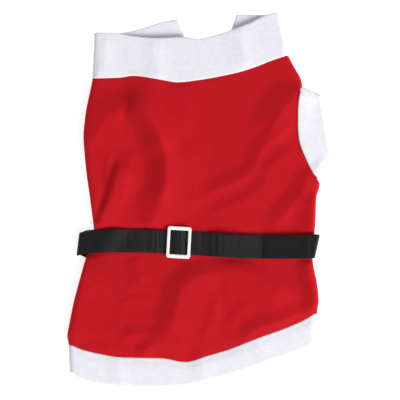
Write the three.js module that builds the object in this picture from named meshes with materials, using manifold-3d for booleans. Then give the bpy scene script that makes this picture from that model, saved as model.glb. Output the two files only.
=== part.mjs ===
// A dog's Santa coat laid flat on its chest side: a red fleece back panel wrapped round both
// sides, a red chest panel underneath with a V slit at the neck, doubled white fleece bands at
// the neck, hem and both leg holes, and a black woven belt with a white plastic buckle.
// Millimetres, +Z up, +Y towards the neck, origin under the middle of the coat.
import * as THREE from "three";
import Module from "manifold-3d";
import { mergeVertices } from "three/addons/utils/BufferGeometryUtils.js";

const wasm = await Module();
wasm.setup();

// Driving sizes
const FLEECE = 2.0; // one layer of red fleece
const BAND = 2.8; // white fleece, doubled
const SEAM = 0.3; // gap between two pieces at a seam
const FOLD_REACH = 3.0; // how far the middle of the cloth swings out where it turns over at a side
const TURNED_UNDER = 1.2; // how far the back panel lies under the coat past its right fold
const EDGE_GAP = 7.2; // between the middles of the two layers at a side fold
const BAND_RISE = (BAND - FLEECE) / 2; // the thicker band's middle lies this much higher on the floor
const LOFT_RUN = 5; // from a side fold to where the coat reaches its full loft
const EDGE_RUN = { left: 4, right: 3 }; // and to where its folds reach their full height

// Outline of the body seen from above, down its length
const SIDES = [
  { y: 152.0, left: -110.3, right: 91.0 },
  { y: 139.4, left: -110.6, right: 97.6 },
  { y: 124.8, left: -112.3, right: 105.4 },
  { y: 104.0, left: -116.5, right: 108.7 },
  { y: 87.4, left: -119.3, right: 111.8 },
  { y: 65.5, left: -121.2, right: 115.9 },
  { y: 51.0, left: -120.3, right: 118.6 },
  { y: 29.1, left: -118.2, right: 122.5 },
  { y: 16.6, left: -116.5, right: 124.7 },
  { y: 2.1, left: -114.4, right: 121.2 },
  { y: -21.8, left: -111.5, right: 120.2 },
  { y: -31.2, left: -110.6, right: 119.4 },
  { y: -52.0, left: -116.0, right: 117.0 },
  { y: -64.0, left: -120.0, right: 117.6 },
  { y: -87.4, left: -126.6, right: 122.0 },
  { y: -104.0, left: -131.0, right: 123.6 },
  { y: -113.0, left: -133.0, right: 122.6 },
  { y: -130.0, left: -136.3, right: 121.0 },
  { y: -141.4, left: -138.2, right: 120.2 },
  { y: -151.8, left: -136.7, right: 119.6 },
  { y: -177.8, left: -135.8, right: 119.6 },
];

// Right leg hole: where the back panel ends on the top side
const LEG_RIM = [
  { y: 118.0, x: 106.4 },
  { y: 113.4, x: 104.8 },
  { y: 103.5, x: 103.0 },
  { y: 92.0, x: 102.1 },
  { y: 79.0, x: 102.1 },
  { y: 65.3, x: 103.0 },
  { y: 54.6, x: 105.6 },
  { y: 43.9, x: 110.2 },
  { y: 33.3, x: 115.1 },
  { y: 24.9, x: 120.0 },
  { y: 17.3, x: 124.7 },
];

// Seams across the top side, from the left fold to the right fold
const NECK_SEAM = [
  { x: -110.8, y: 126.6 },
  { x: -84.2, y: 127.4 },
  { x: -69.4, y: 129.3 },
  { x: -43.9, y: 125.8 },
  { x: -22.9, y: 122.6 },
  { x: 0.0, y: 125.2 },
  { x: 33.0, y: 131.4 },
  { x: 50.0, y: 136.0 },
  { x: 76.1, y: 145.8 },
  { x: 91.5, y: 150.9 },
];
const HEM_SEAM = [
  { x: -136.3, y: -149.1 },
  { x: -127.0, y: -154.2 },
  { x: -103.8, y: -160.3 },
  { x: -80.6, y: -163.8 },
  { x: -40.7, y: -164.6 },
  { x: -15.6, y: -168.5 },
  { x: 9.0, y: -161.8 },
  { x: 31.0, y: -155.2 },
  { x: 56.8, y: -144.9 },
  { x: 94.6, y: -130.9 },
  { x: 117.5, y: -119.0 },
  { x: 121.0, y: -114.0 },
];

// Free edges of the neck and hem bands on the top side
const NECK_EDGE = [
  { x: -109.7, y: 174.1 },
  { x: -88.4, y: 173.7 },
  { x: -71.8, y: 170.6 },
  { x: -46.1, y: 168.5 },
  { x: -15.6, y: 169.3 },
  { x: -2.6, y: 167.4 },
  { x: 13.5, y: 170.6 },
  { x: 46.4, y: 181.6 },
  { x: 79.0, y: 194.6 },
  { x: 82.7, y: 194.6 },
];
const HEM_EDGE = [
  { x: -135.8, y: -175.8 },
  { x: -124.3, y: -185.6 },
  { x: -95.5, y: -191.9 },
  { x: -52.7, y: -194.5 },
  { x: -20.3, y: -192.8 },
  { x: 18.7, y: -184.7 },
  { x: 68.6, y: -168.0 },
  { x: 108.6, y: -153.6 },
  { x: 119.6, y: -144.9 },
];

// The neck band's two ends on the underside stand higher than its front, 50 mm apart
const NECK_UNDER = {
  leftSeam: [
    { x: -110.8, y: 126.6 },
    { x: -81.0, y: 130.6 },
    { x: -7.8, y: 143.0 },
  ],
  leftEdge: [
    { x: -109.7, y: 174.1 },
    { x: -88.4, y: 173.7 },
    { x: -66.6, y: 177.2 },
    { x: -33.3, y: 186.8 },
    { x: -21.8, y: 188.3 },
  ],
  rightSeam: [
    { x: 20.8, y: 148.7 },
    { x: 91.5, y: 150.9 },
  ],
  rightEdge: [
    { x: 38.1, y: 192.7 },
    { x: 72.4, y: 193.3 },
    { x: 82.7, y: 194.6 },
  ],
};

const CHEST_HEM_RISE = 14; // the underside's hem is cut this much shorter in its middle

// Where the back panel's left side ends on the underside, and the left leg hole in that seam
const WRAP_EDGE = [
  { y: 133.0, x: -81.0 },
  { y: 92.0, x: -84.0 },
  { y: 58.0, x: -91.0 },
  { y: 22.0, x: -86.0 },
  { y: -8.0, x: -77.0 },
  { y: -45.0, x: -72.0 },
  { y: -100.0, x: -84.0 },
  { y: -155.0, x: -100.0 },
];
const LEFT_HOLE = { south: -8, north: 92, width: 10.7 };
const UNDER_CUT = 9; // the right leg hole is cut this much deeper in the chest panel

// Belt: its middle line across the top side and across the underside
const BELT = { width: 24.6, wall: 1.2, reach: { left: 5.2, right: 2.4 }, clear: 0.3 };
const BELT_TOP = [
  { x: -127.0, y: -45.6 },
  { x: -115.0, y: -43.4 },
  { x: -88.0, y: -42.2 },
  { x: -62.0, y: -42.3 },
  { x: -35.0, y: -43.3 },
  { x: -8.0, y: -44.8 },
  { x: 19.0, y: -46.7 },
  { x: 49.0, y: -48.4 },
  { x: 99.0, y: -48.6 },
  { x: 122.0, y: -48.2 },
];
const BELT_UNDER = [
  { x: -127.0, y: -45.6 },
  { x: -116.0, y: -49.6 },
  { x: -90.0, y: -50.4 },
  { x: 0.0, y: -47.0 },
  { x: 90.0, y: -45.4 },
  { x: 122.0, y: -48.2 },
];
const BELT_END = {
  left: { x: -126.6, lean: 2.6 },
  right: { x: 122.2, lean: 5.4 },
};
// The loose belt waves a little along its length: how far it stands off the coat
const BELT_WAVES = [
  { x: -127, rise: -3.2 },
  { x: -118, rise: -1.2 },
  { x: -110, rise: 0.7 },
  { x: -97, rise: 2.0 },
  { x: -76, rise: 0.2 },
  { x: -62, rise: 0.8 },
  { x: -48, rise: 0.8 },
  { x: -38, rise: 0.0 },
  { x: -8, rise: -0.1 },
  { x: -4, rise: 0.5 },
  { x: 4, rise: 0.9 },
  { x: 24, rise: 4.2 },
  { x: 40, rise: 3.4 },
  { x: 64, rise: 1.6 },
  { x: 67, rise: 2.5 },
  { x: 100, rise: 3.8 },
  { x: 112, rise: 4.4 },
  { x: 119, rise: 4.5 },
];
const WAVE_LEAN = 8; // the waves slant by this much at the belt's left end
const BUCKLE = {
  x: -22.0,
  width: 24.9,
  height: 33.0,
  side: 3.2,
  rail: 3.9,
  thick: 2.4,
  bar: 3.0,
  barThick: 1.4,
  corner: 2.8,
  innerCorner: 0.8,
};

// Right cuff: the fold lines of its flattened tube, each from the leg hole to the mouth
const RIGHT_CUFF = {
  north: { root: { x: 107.6, y: 115.6 }, mouth: { x: 126.6, y: 109.8 } },
  south: { root: { x: 126.0, y: 20.4 }, mouth: { x: 138.7, y: 44.4 } },
};
const CUFF_GAP = 10; // between the middles of the right cuff's two layers at its mouth
// Left cuff: tucked under the coat, pressed flat, with its mouth towards the left side
const LEFT_CUFF = {
  rootSouth: -3,
  rootNorth: 87,
  mouthSouth: 6,
  mouthNorth: 77,
  upperMouth: -113,
  lowerMouth: -105,
  press: 3.6,
};
const TUCK_LIFT = 6.7; // how far the cuff lifts the bottom layer that lies on it
const TOP_LIFT = 3.0; // and the top layer, which is stretched over it
const TUCK = { south: -6, north: 90, fade: 22, topFade: 32, edge: -94, run: 32 };

// Loft of the top side above a side fold, down the length
const LOFT = [
  { y: 200, rise: 3.6 },
  { y: 128, rise: 3.6 },
  { y: 90, rise: 3.2 },
  { y: 0, rise: 3.2 },
  { y: -46, rise: 2.4 },
  { y: -90, rise: 3.4 },
  { y: -130, rise: 3.4 },
  { y: -160, rise: 3.0 },
  { y: -200, rise: 2.4 },
];
const HEM_DIP = { depth: 1.2, run: 6 }; // the stitching pulls the cloth down along the hem seam

// How high the folds that run under the belt hold it up; at the left it is drawn in tight
const UNDER_BELT = [
  { x: -126, rise: -4.4 },
  { x: -114, rise: -3.0 },
  { x: -100, rise: -0.5 },
  { x: -90, rise: 0.3 },
  { x: -30, rise: 1.0 },
  { x: -8, rise: 1.2 },
  { x: 10, rise: 0.6 },
  { x: 30, rise: 0.2 },
  { x: 60, rise: 0.2 },
  { x: 96, rise: 0.6 },
  { x: 122, rise: 1.0 },
];

// Folds of the top side: a crest line, its height, and how wide it falls away on the left hand of
// a walk along it, the steep side, and on the right hand, the gentle one
const FOLDS = [
  {
    name: "pillow over the tucked cuff",
    rise: 2.7,
    left: 21,
    right: 30,
    crest: [[-118, 46], [-110, 63], [-103, 77], [-95, 88], [-85, 93], [-75, 92]],
  },
  {
    name: "great fold above the belt",
    rise: 5.0,
    left: 44,
    right: 40,
    crest: [[-67, -71], [-60, -50], [-52, -31], [-44, -10], [-37, 10], [-35, 29], [-36, 47],
      [-42, 66], [-51, 83], [-63, 98], [-76, 108], [-88, 114]],
  },
  {
    name: "sharp crease into the belt",
    rise: 4.0,
    left: 8,
    right: 40,
    crest: [[-116, -52], [-107, -31], [-100, -14], [-93, 2], [-88, 17], [-83, 32], [-79, 44]],
  },
  {
    name: "soft rise right of the great fold",
    rise: 1.6,
    left: 20,
    right: 24,
    crest: [[-12, -17], [-8, -2], [-6, 15], [-7, 33], [-10, 50], [-15, 64]],
  },
  {
    name: "long bent ridge to the leg hole",
    rise: 2.5,
    left: 15,
    right: 20,
    crest: [[-11, -26], [0, -1], [12, 9], [30, 16], [47, 24], [57, 34], [62, 49], [71, 60],
      [83, 69], [93, 81], [98, 99]],
  },
  {
    name: "second ridge, below the bent one",
    rise: 2.4,
    left: 13,
    right: 50,
    crest: [[-3, -36], [12, -16], [33, -6], [52, 3], [67, 16], [72, 31], [83, 43], [97, 50],
      [107, 54]],
  },
  {
    name: "fold above the belt at the right",
    rise: 3.4,
    left: 17,
    right: 36,
    crest: [[72, -37], [82, -21], [93, -8], [102, 2], [108, 12], [113, 25], [114, 37]],
  },
  {
    name: "right side above the belt",
    rise: 5.8,
    left: 25,
    right: 6,
    crest: [[120, -56], [120, -40], [121, -23], [122, -6], [123, 10]],
  },
  {
    name: "right shoulder",
    rise: 5.0,
    left: 30,
    right: 34,
    crest: [[69, 56], [79, 83], [90, 98], [99, 110], [102, 125]],
  },
  {
    name: "soft rise below the neck band",
    rise: 1.2,
    left: 22,
    right: 30,
    crest: [[-15, 64], [-15, 92], [-16, 110], [-17, 125]],
  },
  {
    name: "great fold below the belt",
    rise: 5.2,
    left: 22,
    right: 66,
    crest: [[-33, -156], [-31, -139], [-27, -123], [-23, -108], [-19, -95], [-10, -84], [1, -79],
      [15, -76], [29, -76]],
  },
  {
    name: "ridge above the hem at the right",
    rise: 2.5,
    left: 13,
    right: 16,
    crest: [[38, -155], [51, -139], [62, -132], [77, -128], [95, -121], [116, -110]],
  },
  {
    name: "hump above the hem",
    rise: 2.6,
    left: 12,
    right: 20,
    crest: [[-59, -168], [-57, -158], [-52, -152], [-40, -149], [-25, -151], [-10, -160]],
  },
  {
    name: "left side below the belt",
    rise: 3.2,
    left: 5,
    right: 84,
    crest: [[-132, -156], [-132, -135], [-128, -112], [-124, -92], [-119, -73], [-114, -56]],
  },
  {
    name: "short fold below the belt",
    rise: 1.3,
    left: 13,
    right: 16,
    crest: [[-62, -87], [-64, -73], [-69, -58]],
  },
  {
    name: "right side below the belt",
    rise: 4.0,
    left: 15,
    right: 4,
    crest: [[121, -127], [120, -112], [119, -96], [115, -79], [112, -64], [107, -52]],
  },
  {
    name: "swell below the belt",
    rise: 4.2,
    left: 15,
    right: 60,
    crest: [[4, -76], [27, -72], [48, -75], [64, -84], [83, -96], [104, -105]],
  },
  {
    name: "great fold, fuller in its middle",
    rise: 4.8,
    left: 23,
    right: 50,
    crest: [[-60, -27], [-48, -8], [-38, 10], [-35, 28], [-35, 46], [-40, 62], [-47, 78],
      [-59, 94], [-72, 104], [-83, 110]],
  },
  {
    name: "the crease's broader top",
    rise: 2.5,
    left: 18,
    right: 18,
    crest: [[-84, -6], [-80, 10], [-76, 27], [-72, 42], [-68, 52]],
  },
  {
    name: "upper edge of the hump",
    rise: 2.0,
    left: 10,
    right: 14,
    crest: [[-85, -148], [-73, -141], [-57, -139], [-42, -140], [-26, -144]],
  },
  {
    name: "great fold, sharper at its top",
    rise: 2.8,
    left: 20,
    right: 24,
    crest: [[-37, 48], [-40, 60], [-46, 73], [-55, 86], [-67, 98], [-79, 106]],
  },
  {
    name: "neck band, left",
    rise: 1.0,
    left: 12,
    right: 18,
    crest: [[-100, 122], [-98, 176]],
  },
  {
    name: "neck band, middle",
    rise: 1.2,
    left: 16,
    right: 18,
    crest: [[-41, 118], [-50, 172]],
  },
  {
    name: "neck band, right",
    rise: 1.4,
    left: 22,
    right: 18,
    crest: [[49, 130], [40, 186]],
  },
  {
    name: "hem band, left",
    rise: 0.8,
    left: 14,
    right: 20,
    crest: [[-82, -198], [-86, -156]],
  },
  {
    name: "hem band, middle",
    rise: 1.0,
    left: 14,
    right: 18,
    crest: [[6, -194], [-1, -154]],
  },
  {
    name: "hem band, right",
    rise: 0.8,
    left: 12,
    right: 16,
    crest: [[69, -174], [59, -136]],
  },
];
const SPAN_STEPS = 6; // straight pieces between two points of a crest line
const CREST_RADIUS = 1.6; // a crest is rounded off over about this much
const FOOT = { left: 0.35, right: 1.0 }; // share of each side's width that levels out at its foot
const FOLD_ENDS = 0.25; // share of a crest's length over which a fold rises or dies away
const FLAT_UNDER_BELT = 12.8; // folds are pressed flat this far from the belt's middle line
const FOLD_RETURN = 6; // and are back to their full height over this much more

const clamp = (v, low, high) => Math.min(high, Math.max(low, v));
const mix = (a, b, t) => a + (b - a) * t;
const mixPoint = (p, q, t) => ({ x: mix(p.x, q.x, t), y: mix(p.y, q.y, t) });
const ease = (t) => {
  const c = clamp(t, 0, 1);
  return c * c * (3 - 2 * c);
};

// A smooth function through a table's rows that never overshoots them, straight past its ends
function curve(rows, from, to) {
  const table = [...rows].sort((p, q) => p[from] - q[from]);
  const x = table.map((row) => row[from]);
  const y = table.map((row) => row[to]);
  const last = x.length - 1;
  const slope = x.slice(1).map((_, i) => (y[i + 1] - y[i]) / (x[i + 1] - x[i]));
  const tangent = x.map((_, i) => {
    if (i === 0) return slope[0];
    if (i === last) return slope[last - 1];
    if (slope[i - 1] * slope[i] <= 0) return 0;
    return (2 * slope[i - 1] * slope[i]) / (slope[i - 1] + slope[i]);
  });
  return (at) => {
    const v = clamp(at, x[0], x[last]);
    let i = 0;
    while (i < last - 1 && v > x[i + 1]) i++;
    const h = x[i + 1] - x[i];
    const t = (v - x[i]) / h;
    const s = 1 - t;
    return (
      y[i] * s * s * (1 + 2 * t) +
      h * tangent[i] * t * s * s +
      y[i + 1] * t * t * (1 + 2 * s) -
      h * tangent[i + 1] * t * t * s
    );
  };
}

const leftSide = curve(SIDES, "y", "left");
const rightFold = curve(SIDES, "y", "right");
const legRim = curve(LEG_RIM, "y", "x");
const LEG = { north: LEG_RIM[0].y, south: LEG_RIM.at(-1).y };
const neckSeam = curve(NECK_SEAM, "x", "y");
const hemSeam = curve(HEM_SEAM, "x", "y");
const neckEdge = curve(NECK_EDGE, "x", "y");
const hemEdge = curve(HEM_EDGE, "x", "y");
const wrapEdge = curve(WRAP_EDGE, "y", "x");
const beltTop = curve(BELT_TOP, "x", "y");
const beltUnder = curve(BELT_UNDER, "x", "y");
const loftAt = curve(LOFT, "y", "rise");
const underBelt = curve(UNDER_BELT, "x", "rise");

// 1 inside the right leg hole's length, 0 outside it
const inLegHole = (y) => ease((LEG.north - y) / 5) * ease((y - LEG.south) / 5);
const rightSide = (y) => (y < LEG.north && y > LEG.south ? legRim(y) : rightFold(y));

// Crest lines as smooth runs of points
const folds = FOLDS.map((fold) => {
  const crest = fold.crest.map(([x, y]) => new THREE.Vector3(x, y, 0));
  const line = new THREE.CatmullRomCurve3(crest, false, "catmullrom", 0.5);
  return { ...fold, points: line.getPoints(SPAN_STEPS * (crest.length - 1)) };
});

// Share of a fold's height at a share t of its side's width: straight, then levelling at its foot
function flank(t, foot) {
  if (t >= 1) return 0;
  if (t < 1 - foot) return 1 - t / (1 - foot / 2);
  return (1 - t) ** 2 / (foot * (2 - foot));
}

// Height of one fold at a point, from the nearest place on its crest
function foldHeight(fold, x, y) {
  const spans = fold.points.length - 1;
  let nearest = Infinity;
  let onLeft = true;
  let along = 0;
  for (let i = 0; i < spans; i++) {
    const start = fold.points[i];
    const ex = fold.points[i + 1].x - start.x;
    const ey = fold.points[i + 1].y - start.y;
    const t = clamp(((x - start.x) * ex + (y - start.y) * ey) / (ex * ex + ey * ey), 0, 1);
    const dx = x - start.x - ex * t;
    const dy = y - start.y - ey * t;
    const distance = Math.hypot(dx, dy);
    if (distance < nearest) {
      nearest = distance;
      onLeft = ex * dy - ey * dx > 0;
      along = (i + t) / spans;
    }
  }
  const run = Math.hypot(nearest, CREST_RADIUS) - CREST_RADIUS;
  const side = onLeft ? flank(run / fold.left, FOOT.left) : flank(run / fold.right, FOOT.right);
  return fold.rise * side * ease(along / FOLD_ENDS) * ease((1 - along) / FOLD_ENDS);
}

// The cuff tucked under the left side lifts what lies on it
const tuckLength = (y, fade) =>
  ease((TUCK.north + fade - y) / fade) * ease((y - TUCK.south + TUCK.fade) / TUCK.fade);
const hemDip = (x, y) => HEM_DIP.depth * Math.exp(-(((y - hemSeam(x)) / HEM_DIP.run) ** 2));

// Middle of the top layer above the floor
function topHeight(x, y) {
  const fromLeft = x - leftSide(y);
  const fromRight = rightFold(y) - x;
  const pressed = ease((Math.abs(y - beltTop(x)) - FLAT_UNDER_BELT) / FOLD_RETURN);
  const tuck = tuckLength(y, TUCK.topFade) * (1 - ease((x - TUCK.edge) / TUCK.run));
  const folded = folds.reduce((sum, fold) => sum + foldHeight(fold, x, y), 0);
  const edges = ease(fromLeft / EDGE_RUN.left) * ease(fromRight / EDGE_RUN.right);
  const raised = mix(underBelt(x), folded * edges, pressed) - hemDip(x, y);
  const filled = ease(fromLeft / LOFT_RUN) * ease(fromRight / LOFT_RUN);
  return FLEECE / 2 + EDGE_GAP + loftAt(y) * filled + TOP_LIFT * tuck + raised;
}

// Middle of the bottom layer above the floor: flat, but over the belt and the tucked cuff
function bottomHeight(x, y) {
  const overBelt = (BELT.wall + BELT.clear) * (1 - ease((Math.abs(y - beltUnder(x)) - 17) / 13));
  const overCuff = TUCK_LIFT * tuckLength(y, TUCK.fade) * (1 - ease((x - wrapEdge(y) - 2.5) / 10));
  return FLEECE / 2 + Math.max(overBelt, overCuff);
}

// A wall of cloth round a grid of points on its middle: grid[column][row], columns round the
// girth and rows northwards, so that the outside faces out. A ring joins its ends. The first and
// last rows are cut upright, so that two pieces meet squarely at their seam.
function clothWall(grid, wallAt, ring = false) {
  const columns = grid.length;
  const rows = grid[0].length;
  const wrap = (i) => (ring ? (i + columns) % columns : clamp(i, 0, columns - 1));
  const points = [];
  const id = (i, j, side) => (wrap(i) * rows + j) * 2 + side;
  grid.forEach((column, i) =>
    column.forEach((p, j) => {
      const along = grid[wrap(i + 1)][j].clone().sub(grid[wrap(i - 1)][j]);
      const up = column[Math.min(j + 1, rows - 1)].clone().sub(column[Math.max(j - 1, 0)]);
      if (j === 0 || j === rows - 1) up.z = 0;
      const out = along.cross(up).normalize().multiplyScalar(wallAt(i, j) / 2);
      points.push(...p.clone().add(out), ...p.clone().sub(out));
    }),
  );
  const index = [];
  const quad = (a, b, c, d) => index.push(a, b, c, a, c, d);
  const spans = ring ? columns : columns - 1;
  for (let i = 0; i < spans; i++) {
    for (let j = 0; j < rows - 1; j++) {
      quad(id(i, j, 0), id(i + 1, j, 0), id(i + 1, j + 1, 0), id(i, j + 1, 0));
      quad(id(i, j, 1), id(i, j + 1, 1), id(i + 1, j + 1, 1), id(i + 1, j, 1));
    }
    const top = rows - 1;
    quad(id(i, 0, 1), id(i + 1, 0, 1), id(i + 1, 0, 0), id(i, 0, 0));
    quad(id(i, top, 0), id(i + 1, top, 0), id(i + 1, top, 1), id(i, top, 1));
  }
  if (!ring)
    for (let j = 0; j < rows - 1; j++) {
      quad(id(0, j, 1), id(0, j, 0), id(0, j + 1, 0), id(0, j + 1, 1));
      const last = columns - 1;
      quad(id(last, j, 0), id(last, j, 1), id(last, j + 1, 1), id(last, j + 1, 0));
    }
  const geometry = new THREE.BufferGeometry();
  geometry.setAttribute("position", new THREE.Float32BufferAttribute(points, 3));
  geometry.setIndex(index);
  return geometry;
}

const shares = (n) => Array.from({ length: n + 1 }, (_, i) => i / n);
const inner = (n) => shares(n).slice(1, -1);

// Columns: shares of the width across the top side, closer at its two edges, and across the
// chest panel
const EDGE_SHARE = 0.024;
const topShares = [
  0,
  EDGE_SHARE / 2,
  ...shares(32).map((s) => mix(EDGE_SHARE, 1 - EDGE_SHARE, s)),
  1 - EDGE_SHARE / 2,
  1,
];
const CHEST_COLUMNS = [
  0, 0.014, 0.06, 0.13, 0.21, 0.29, 0.36, 0.426, 0.491, 0.545, 0.599, 0.67, 0.75, 0.83, 0.9, 0.95, 1,
];
const SLIT = { left: 0.426, foot: 0.491, right: 0.599, y: 107 }; // shares where the V begins and ends
const WRAP_STEPS = 4;
const ARC_STEPS = 6;
// Rows from the hem seam to the belt, under the belt, and on to the neck seam
const ROWS = { hem: 13, belt: 3, neck: 19 };
const spacedRows = (hem, low, high, neck) => [
  ...shares(ROWS.hem).map((t) => mix(hem, low, t)),
  ...inner(ROWS.belt).map((t) => mix(low, high, t)),
  ...shares(ROWS.neck).map((t) => mix(high, neck, t)),
];

// Round the right side the cloth turns right under, but at the leg hole it only rolls over
const rightRoll = (y) => ({
  reach: mix(FOLD_REACH, 1.2, inLegHole(y)),
  turn: mix(Math.PI, 1.1, inLegHole(y)),
});
const leftFoldX = (y) => leftSide(y) + FLEECE / 2 + FOLD_REACH;
const rightFoldX = (y) => rightSide(y) - FLEECE / 2 - rightRoll(y).reach;
const acrossBody = (share, y) => mix(leftFoldX(y), rightFoldX(y), share);

// A seam's point at a share of the width: y follows from x and x from y, so settle both
function onSeam(seam, xAt) {
  let y = seam(0);
  for (let n = 0; n < 12; n++) y = seam(xAt(y));
  return y;
}
const neckRow = (share) => onSeam(neckSeam, (y) => acrossBody(share, y)) - SEAM / 2;
const hemRow = (share) => onSeam(hemSeam, (y) => acrossBody(share, y)) + SEAM / 2;

function topRows(share) {
  const middle = beltTop(acrossBody(share, -45));
  return spacedRows(hemRow(share), middle - FLAT_UNDER_BELT, middle + FLAT_UNDER_BELT, neckRow(share));
}

// The turn at a side fold: angle 0 is the top layer, half a turn the bottom layer
function foldPoint(centreX, low, high, y, reach, angle) {
  const middle = (low + high) / 2;
  const half = (high - low) / 2;
  return new THREE.Vector3(centreX + reach * Math.sin(angle), y, middle + half * Math.cos(angle));
}

// On the underside the neck band's ends stand higher and the hem is cut shorter
const underNeckLeft = curve(NECK_UNDER.leftSeam, "x", "y");
const underNeckRight = curve(NECK_UNDER.rightSeam, "x", "y");
const underNeckEdgeLeft = curve(NECK_UNDER.leftEdge, "x", "y");
const underNeckEdgeRight = curve(NECK_UNDER.rightEdge, "x", "y");
const hemShare = (x, edge) => clamp((x - edge[0].x) / (edge.at(-1).x - edge[0].x), 0, 1);
const underHemSeam = (x) => hemSeam(x) + CHEST_HEM_RISE * Math.sin(Math.PI * hemShare(x, HEM_SEAM));
const underHemEdge = (x) => hemEdge(x) + CHEST_HEM_RISE * Math.sin(Math.PI * hemShare(x, HEM_EDGE));

// Under the left side the rows leave the fold at a slant, to meet the chest panel's seams
function wrapPoint(share, y) {
  const level = mix(wrapEdge(y), leftFoldX(y), share);
  const neck = neckRow(0);
  const hem = hemRow(0);
  const up = ease((y - 95) / (neck - 95)) * (underNeckLeft(level) - SEAM / 2 - neck);
  const down = ease((y + 100) / (hem + 100)) * (underHemSeam(level) + SEAM / 2 - hem);
  const slanted = y + (1 - share) * (up + down);
  const x = mix(wrapEdge(slanted), leftFoldX(slanted), share);
  return new THREE.Vector3(x, slanted, bottomHeight(x, slanted));
}

// Lower rim of the right leg hole, cut deeper than the rim on the top side
const lowerRim = (y) => {
  const along = clamp((y - LEG.south) / (LEG.north - LEG.south), 0, 1);
  const cut = UNDER_CUT * Math.sin(Math.PI * along);
  return rightSide(y) - FLEECE / 2 - FOLD_REACH - TURNED_UNDER - SEAM - cut;
};
const leftHoleWidth = (y) => {
  const along = clamp((y - LEFT_HOLE.south) / (LEFT_HOLE.north - LEFT_HOLE.south), 0, 1);
  return LEFT_HOLE.width * Math.sin(Math.PI * along);
};
const chestLeft = (y) => wrapEdge(y) + SEAM + leftHoleWidth(y);
const acrossChest = (share, y) => mix(chestLeft(y), lowerRim(y), share);

// The chest panel's neck line, with the V slit cut into it
function chestNeckRow(share) {
  const seamAt = (seam, s) => onSeam(seam, (y) => acrossChest(s, y)) - SEAM / 2;
  if (share <= SLIT.left) return seamAt(underNeckLeft, share);
  if (share >= SLIT.right) return seamAt(underNeckRight, share);
  const [from, to] = share < SLIT.foot ? [SLIT.left, SLIT.foot] : [SLIT.foot, SLIT.right];
  const corner = (s) => (s === SLIT.foot ? SLIT.y : chestNeckRow(s));
  return mix(corner(from), corner(to), (share - from) / (to - from));
}

function chestRows(share) {
  const hem = onSeam(underHemSeam, (y) => acrossChest(share, y)) + SEAM / 2;
  const middle = beltUnder(acrossChest(share, -45));
  const half = FLAT_UNDER_BELT + 3;
  const neck = share === SLIT.foot ? SLIT.y : chestNeckRow(share);
  return spacedRows(hem, middle - half, middle + half, neck);
}

// All the columns of the body's cloth, each a list of points from the hem seam to the neck seam
function bodyColumns() {
  const leftRows = topRows(0);
  const rightRows = topRows(1);
  const wrap = shares(WRAP_STEPS).map((s) => leftRows.map((y) => wrapPoint(s, y)));
  const leftTurn = inner(ARC_STEPS).map((s) =>
    leftRows.map((y) => {
      const x = leftFoldX(y);
      return foldPoint(x, bottomHeight(x, y), topHeight(x, y), y, FOLD_REACH, -Math.PI * (1 - s));
    }),
  );
  const top = topShares.map((s) =>
    topRows(s).map((y) => {
      const x = acrossBody(s, y);
      return new THREE.Vector3(x, y, topHeight(x, y));
    }),
  );
  const rightTurn = shares(ARC_STEPS).slice(1).map((s) =>
    rightRows.map((y) => {
      const { reach, turn } = rightRoll(y);
      const x = rightFoldX(y);
      const high = topHeight(x, y);
      const low = mix(bottomHeight(x, y), high - 2 * reach, inLegHole(y));
      return foldPoint(x, low, high, y, reach, turn * s);
    }),
  );
  const last = rightTurn.at(-1);
  const before = rightTurn.at(-2);
  rightTurn.push(
    last.map((p, j) => {
      const onwards = inLegHole(p.y) > 0 ? p.clone().sub(before[j]) : new THREE.Vector3(-1, 0, 0);
      return p.clone().add(onwards.setLength(mix(TURNED_UNDER, SEAM, inLegHole(p.y))));
    }),
  );
  const ownLeft = chestRows(0);
  const ownRight = chestRows(1);
  const seamLeft = wrap[0].map((p) => p.y);
  const chest = CHEST_COLUMNS.map((s) =>
    chestRows(s).map((own, j) => {
      const toLeft = ease((0.3 - s) / 0.3) * (seamLeft[j] - ownLeft[j]);
      const toRight = ease((s - 0.7) / 0.3) * (rightRows[j] - ownRight[j]);
      const y = own + toLeft + toRight;
      const x = acrossChest(s, y);
      return new THREE.Vector3(x, y, bottomHeight(x, y));
    }),
  );
  return { wrap, leftTurn, top, rightTurn, chest };
}
const body = bodyColumns();

// Back panel: under the left side, round the left fold, across the top, round the right fold
const backPanel = () =>
  clothWall([...body.wrap, ...body.leftTurn, ...body.top, ...body.rightTurn], () => FLEECE);

// Chest panel: the underside between the two side seams, cut round both leg holes
const chestPanel = () => clothWall([...body.chest].reverse(), () => FLEECE);

// A band's wall across its width: pressed thin at the seam, full, then rounded at its free edge
const BAND_PROFILE = [
  { across: 0.0, wall: 0.78 },
  { across: 0.12, wall: 1.0 },
  { across: 0.5, wall: 1.0 },
  { across: 0.93, wall: 1.0 },
  { across: 0.985, wall: 0.72 },
  { across: 1.0, wall: 0.34 },
];

// One column of a band, from the seam to its free edge, lying on the floor, turned or on top
function bandColumn(profile, seam, edge, angle) {
  return profile.map(({ across }) => {
    const p = mixPoint(seam, edge, across);
    const low = bottomHeight(p.x, p.y) + BAND_RISE;
    const high = topHeight(p.x, p.y) + BAND_RISE;
    return foldPoint(p.x, low, high, p.y, FOLD_REACH, angle);
  });
}

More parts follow.
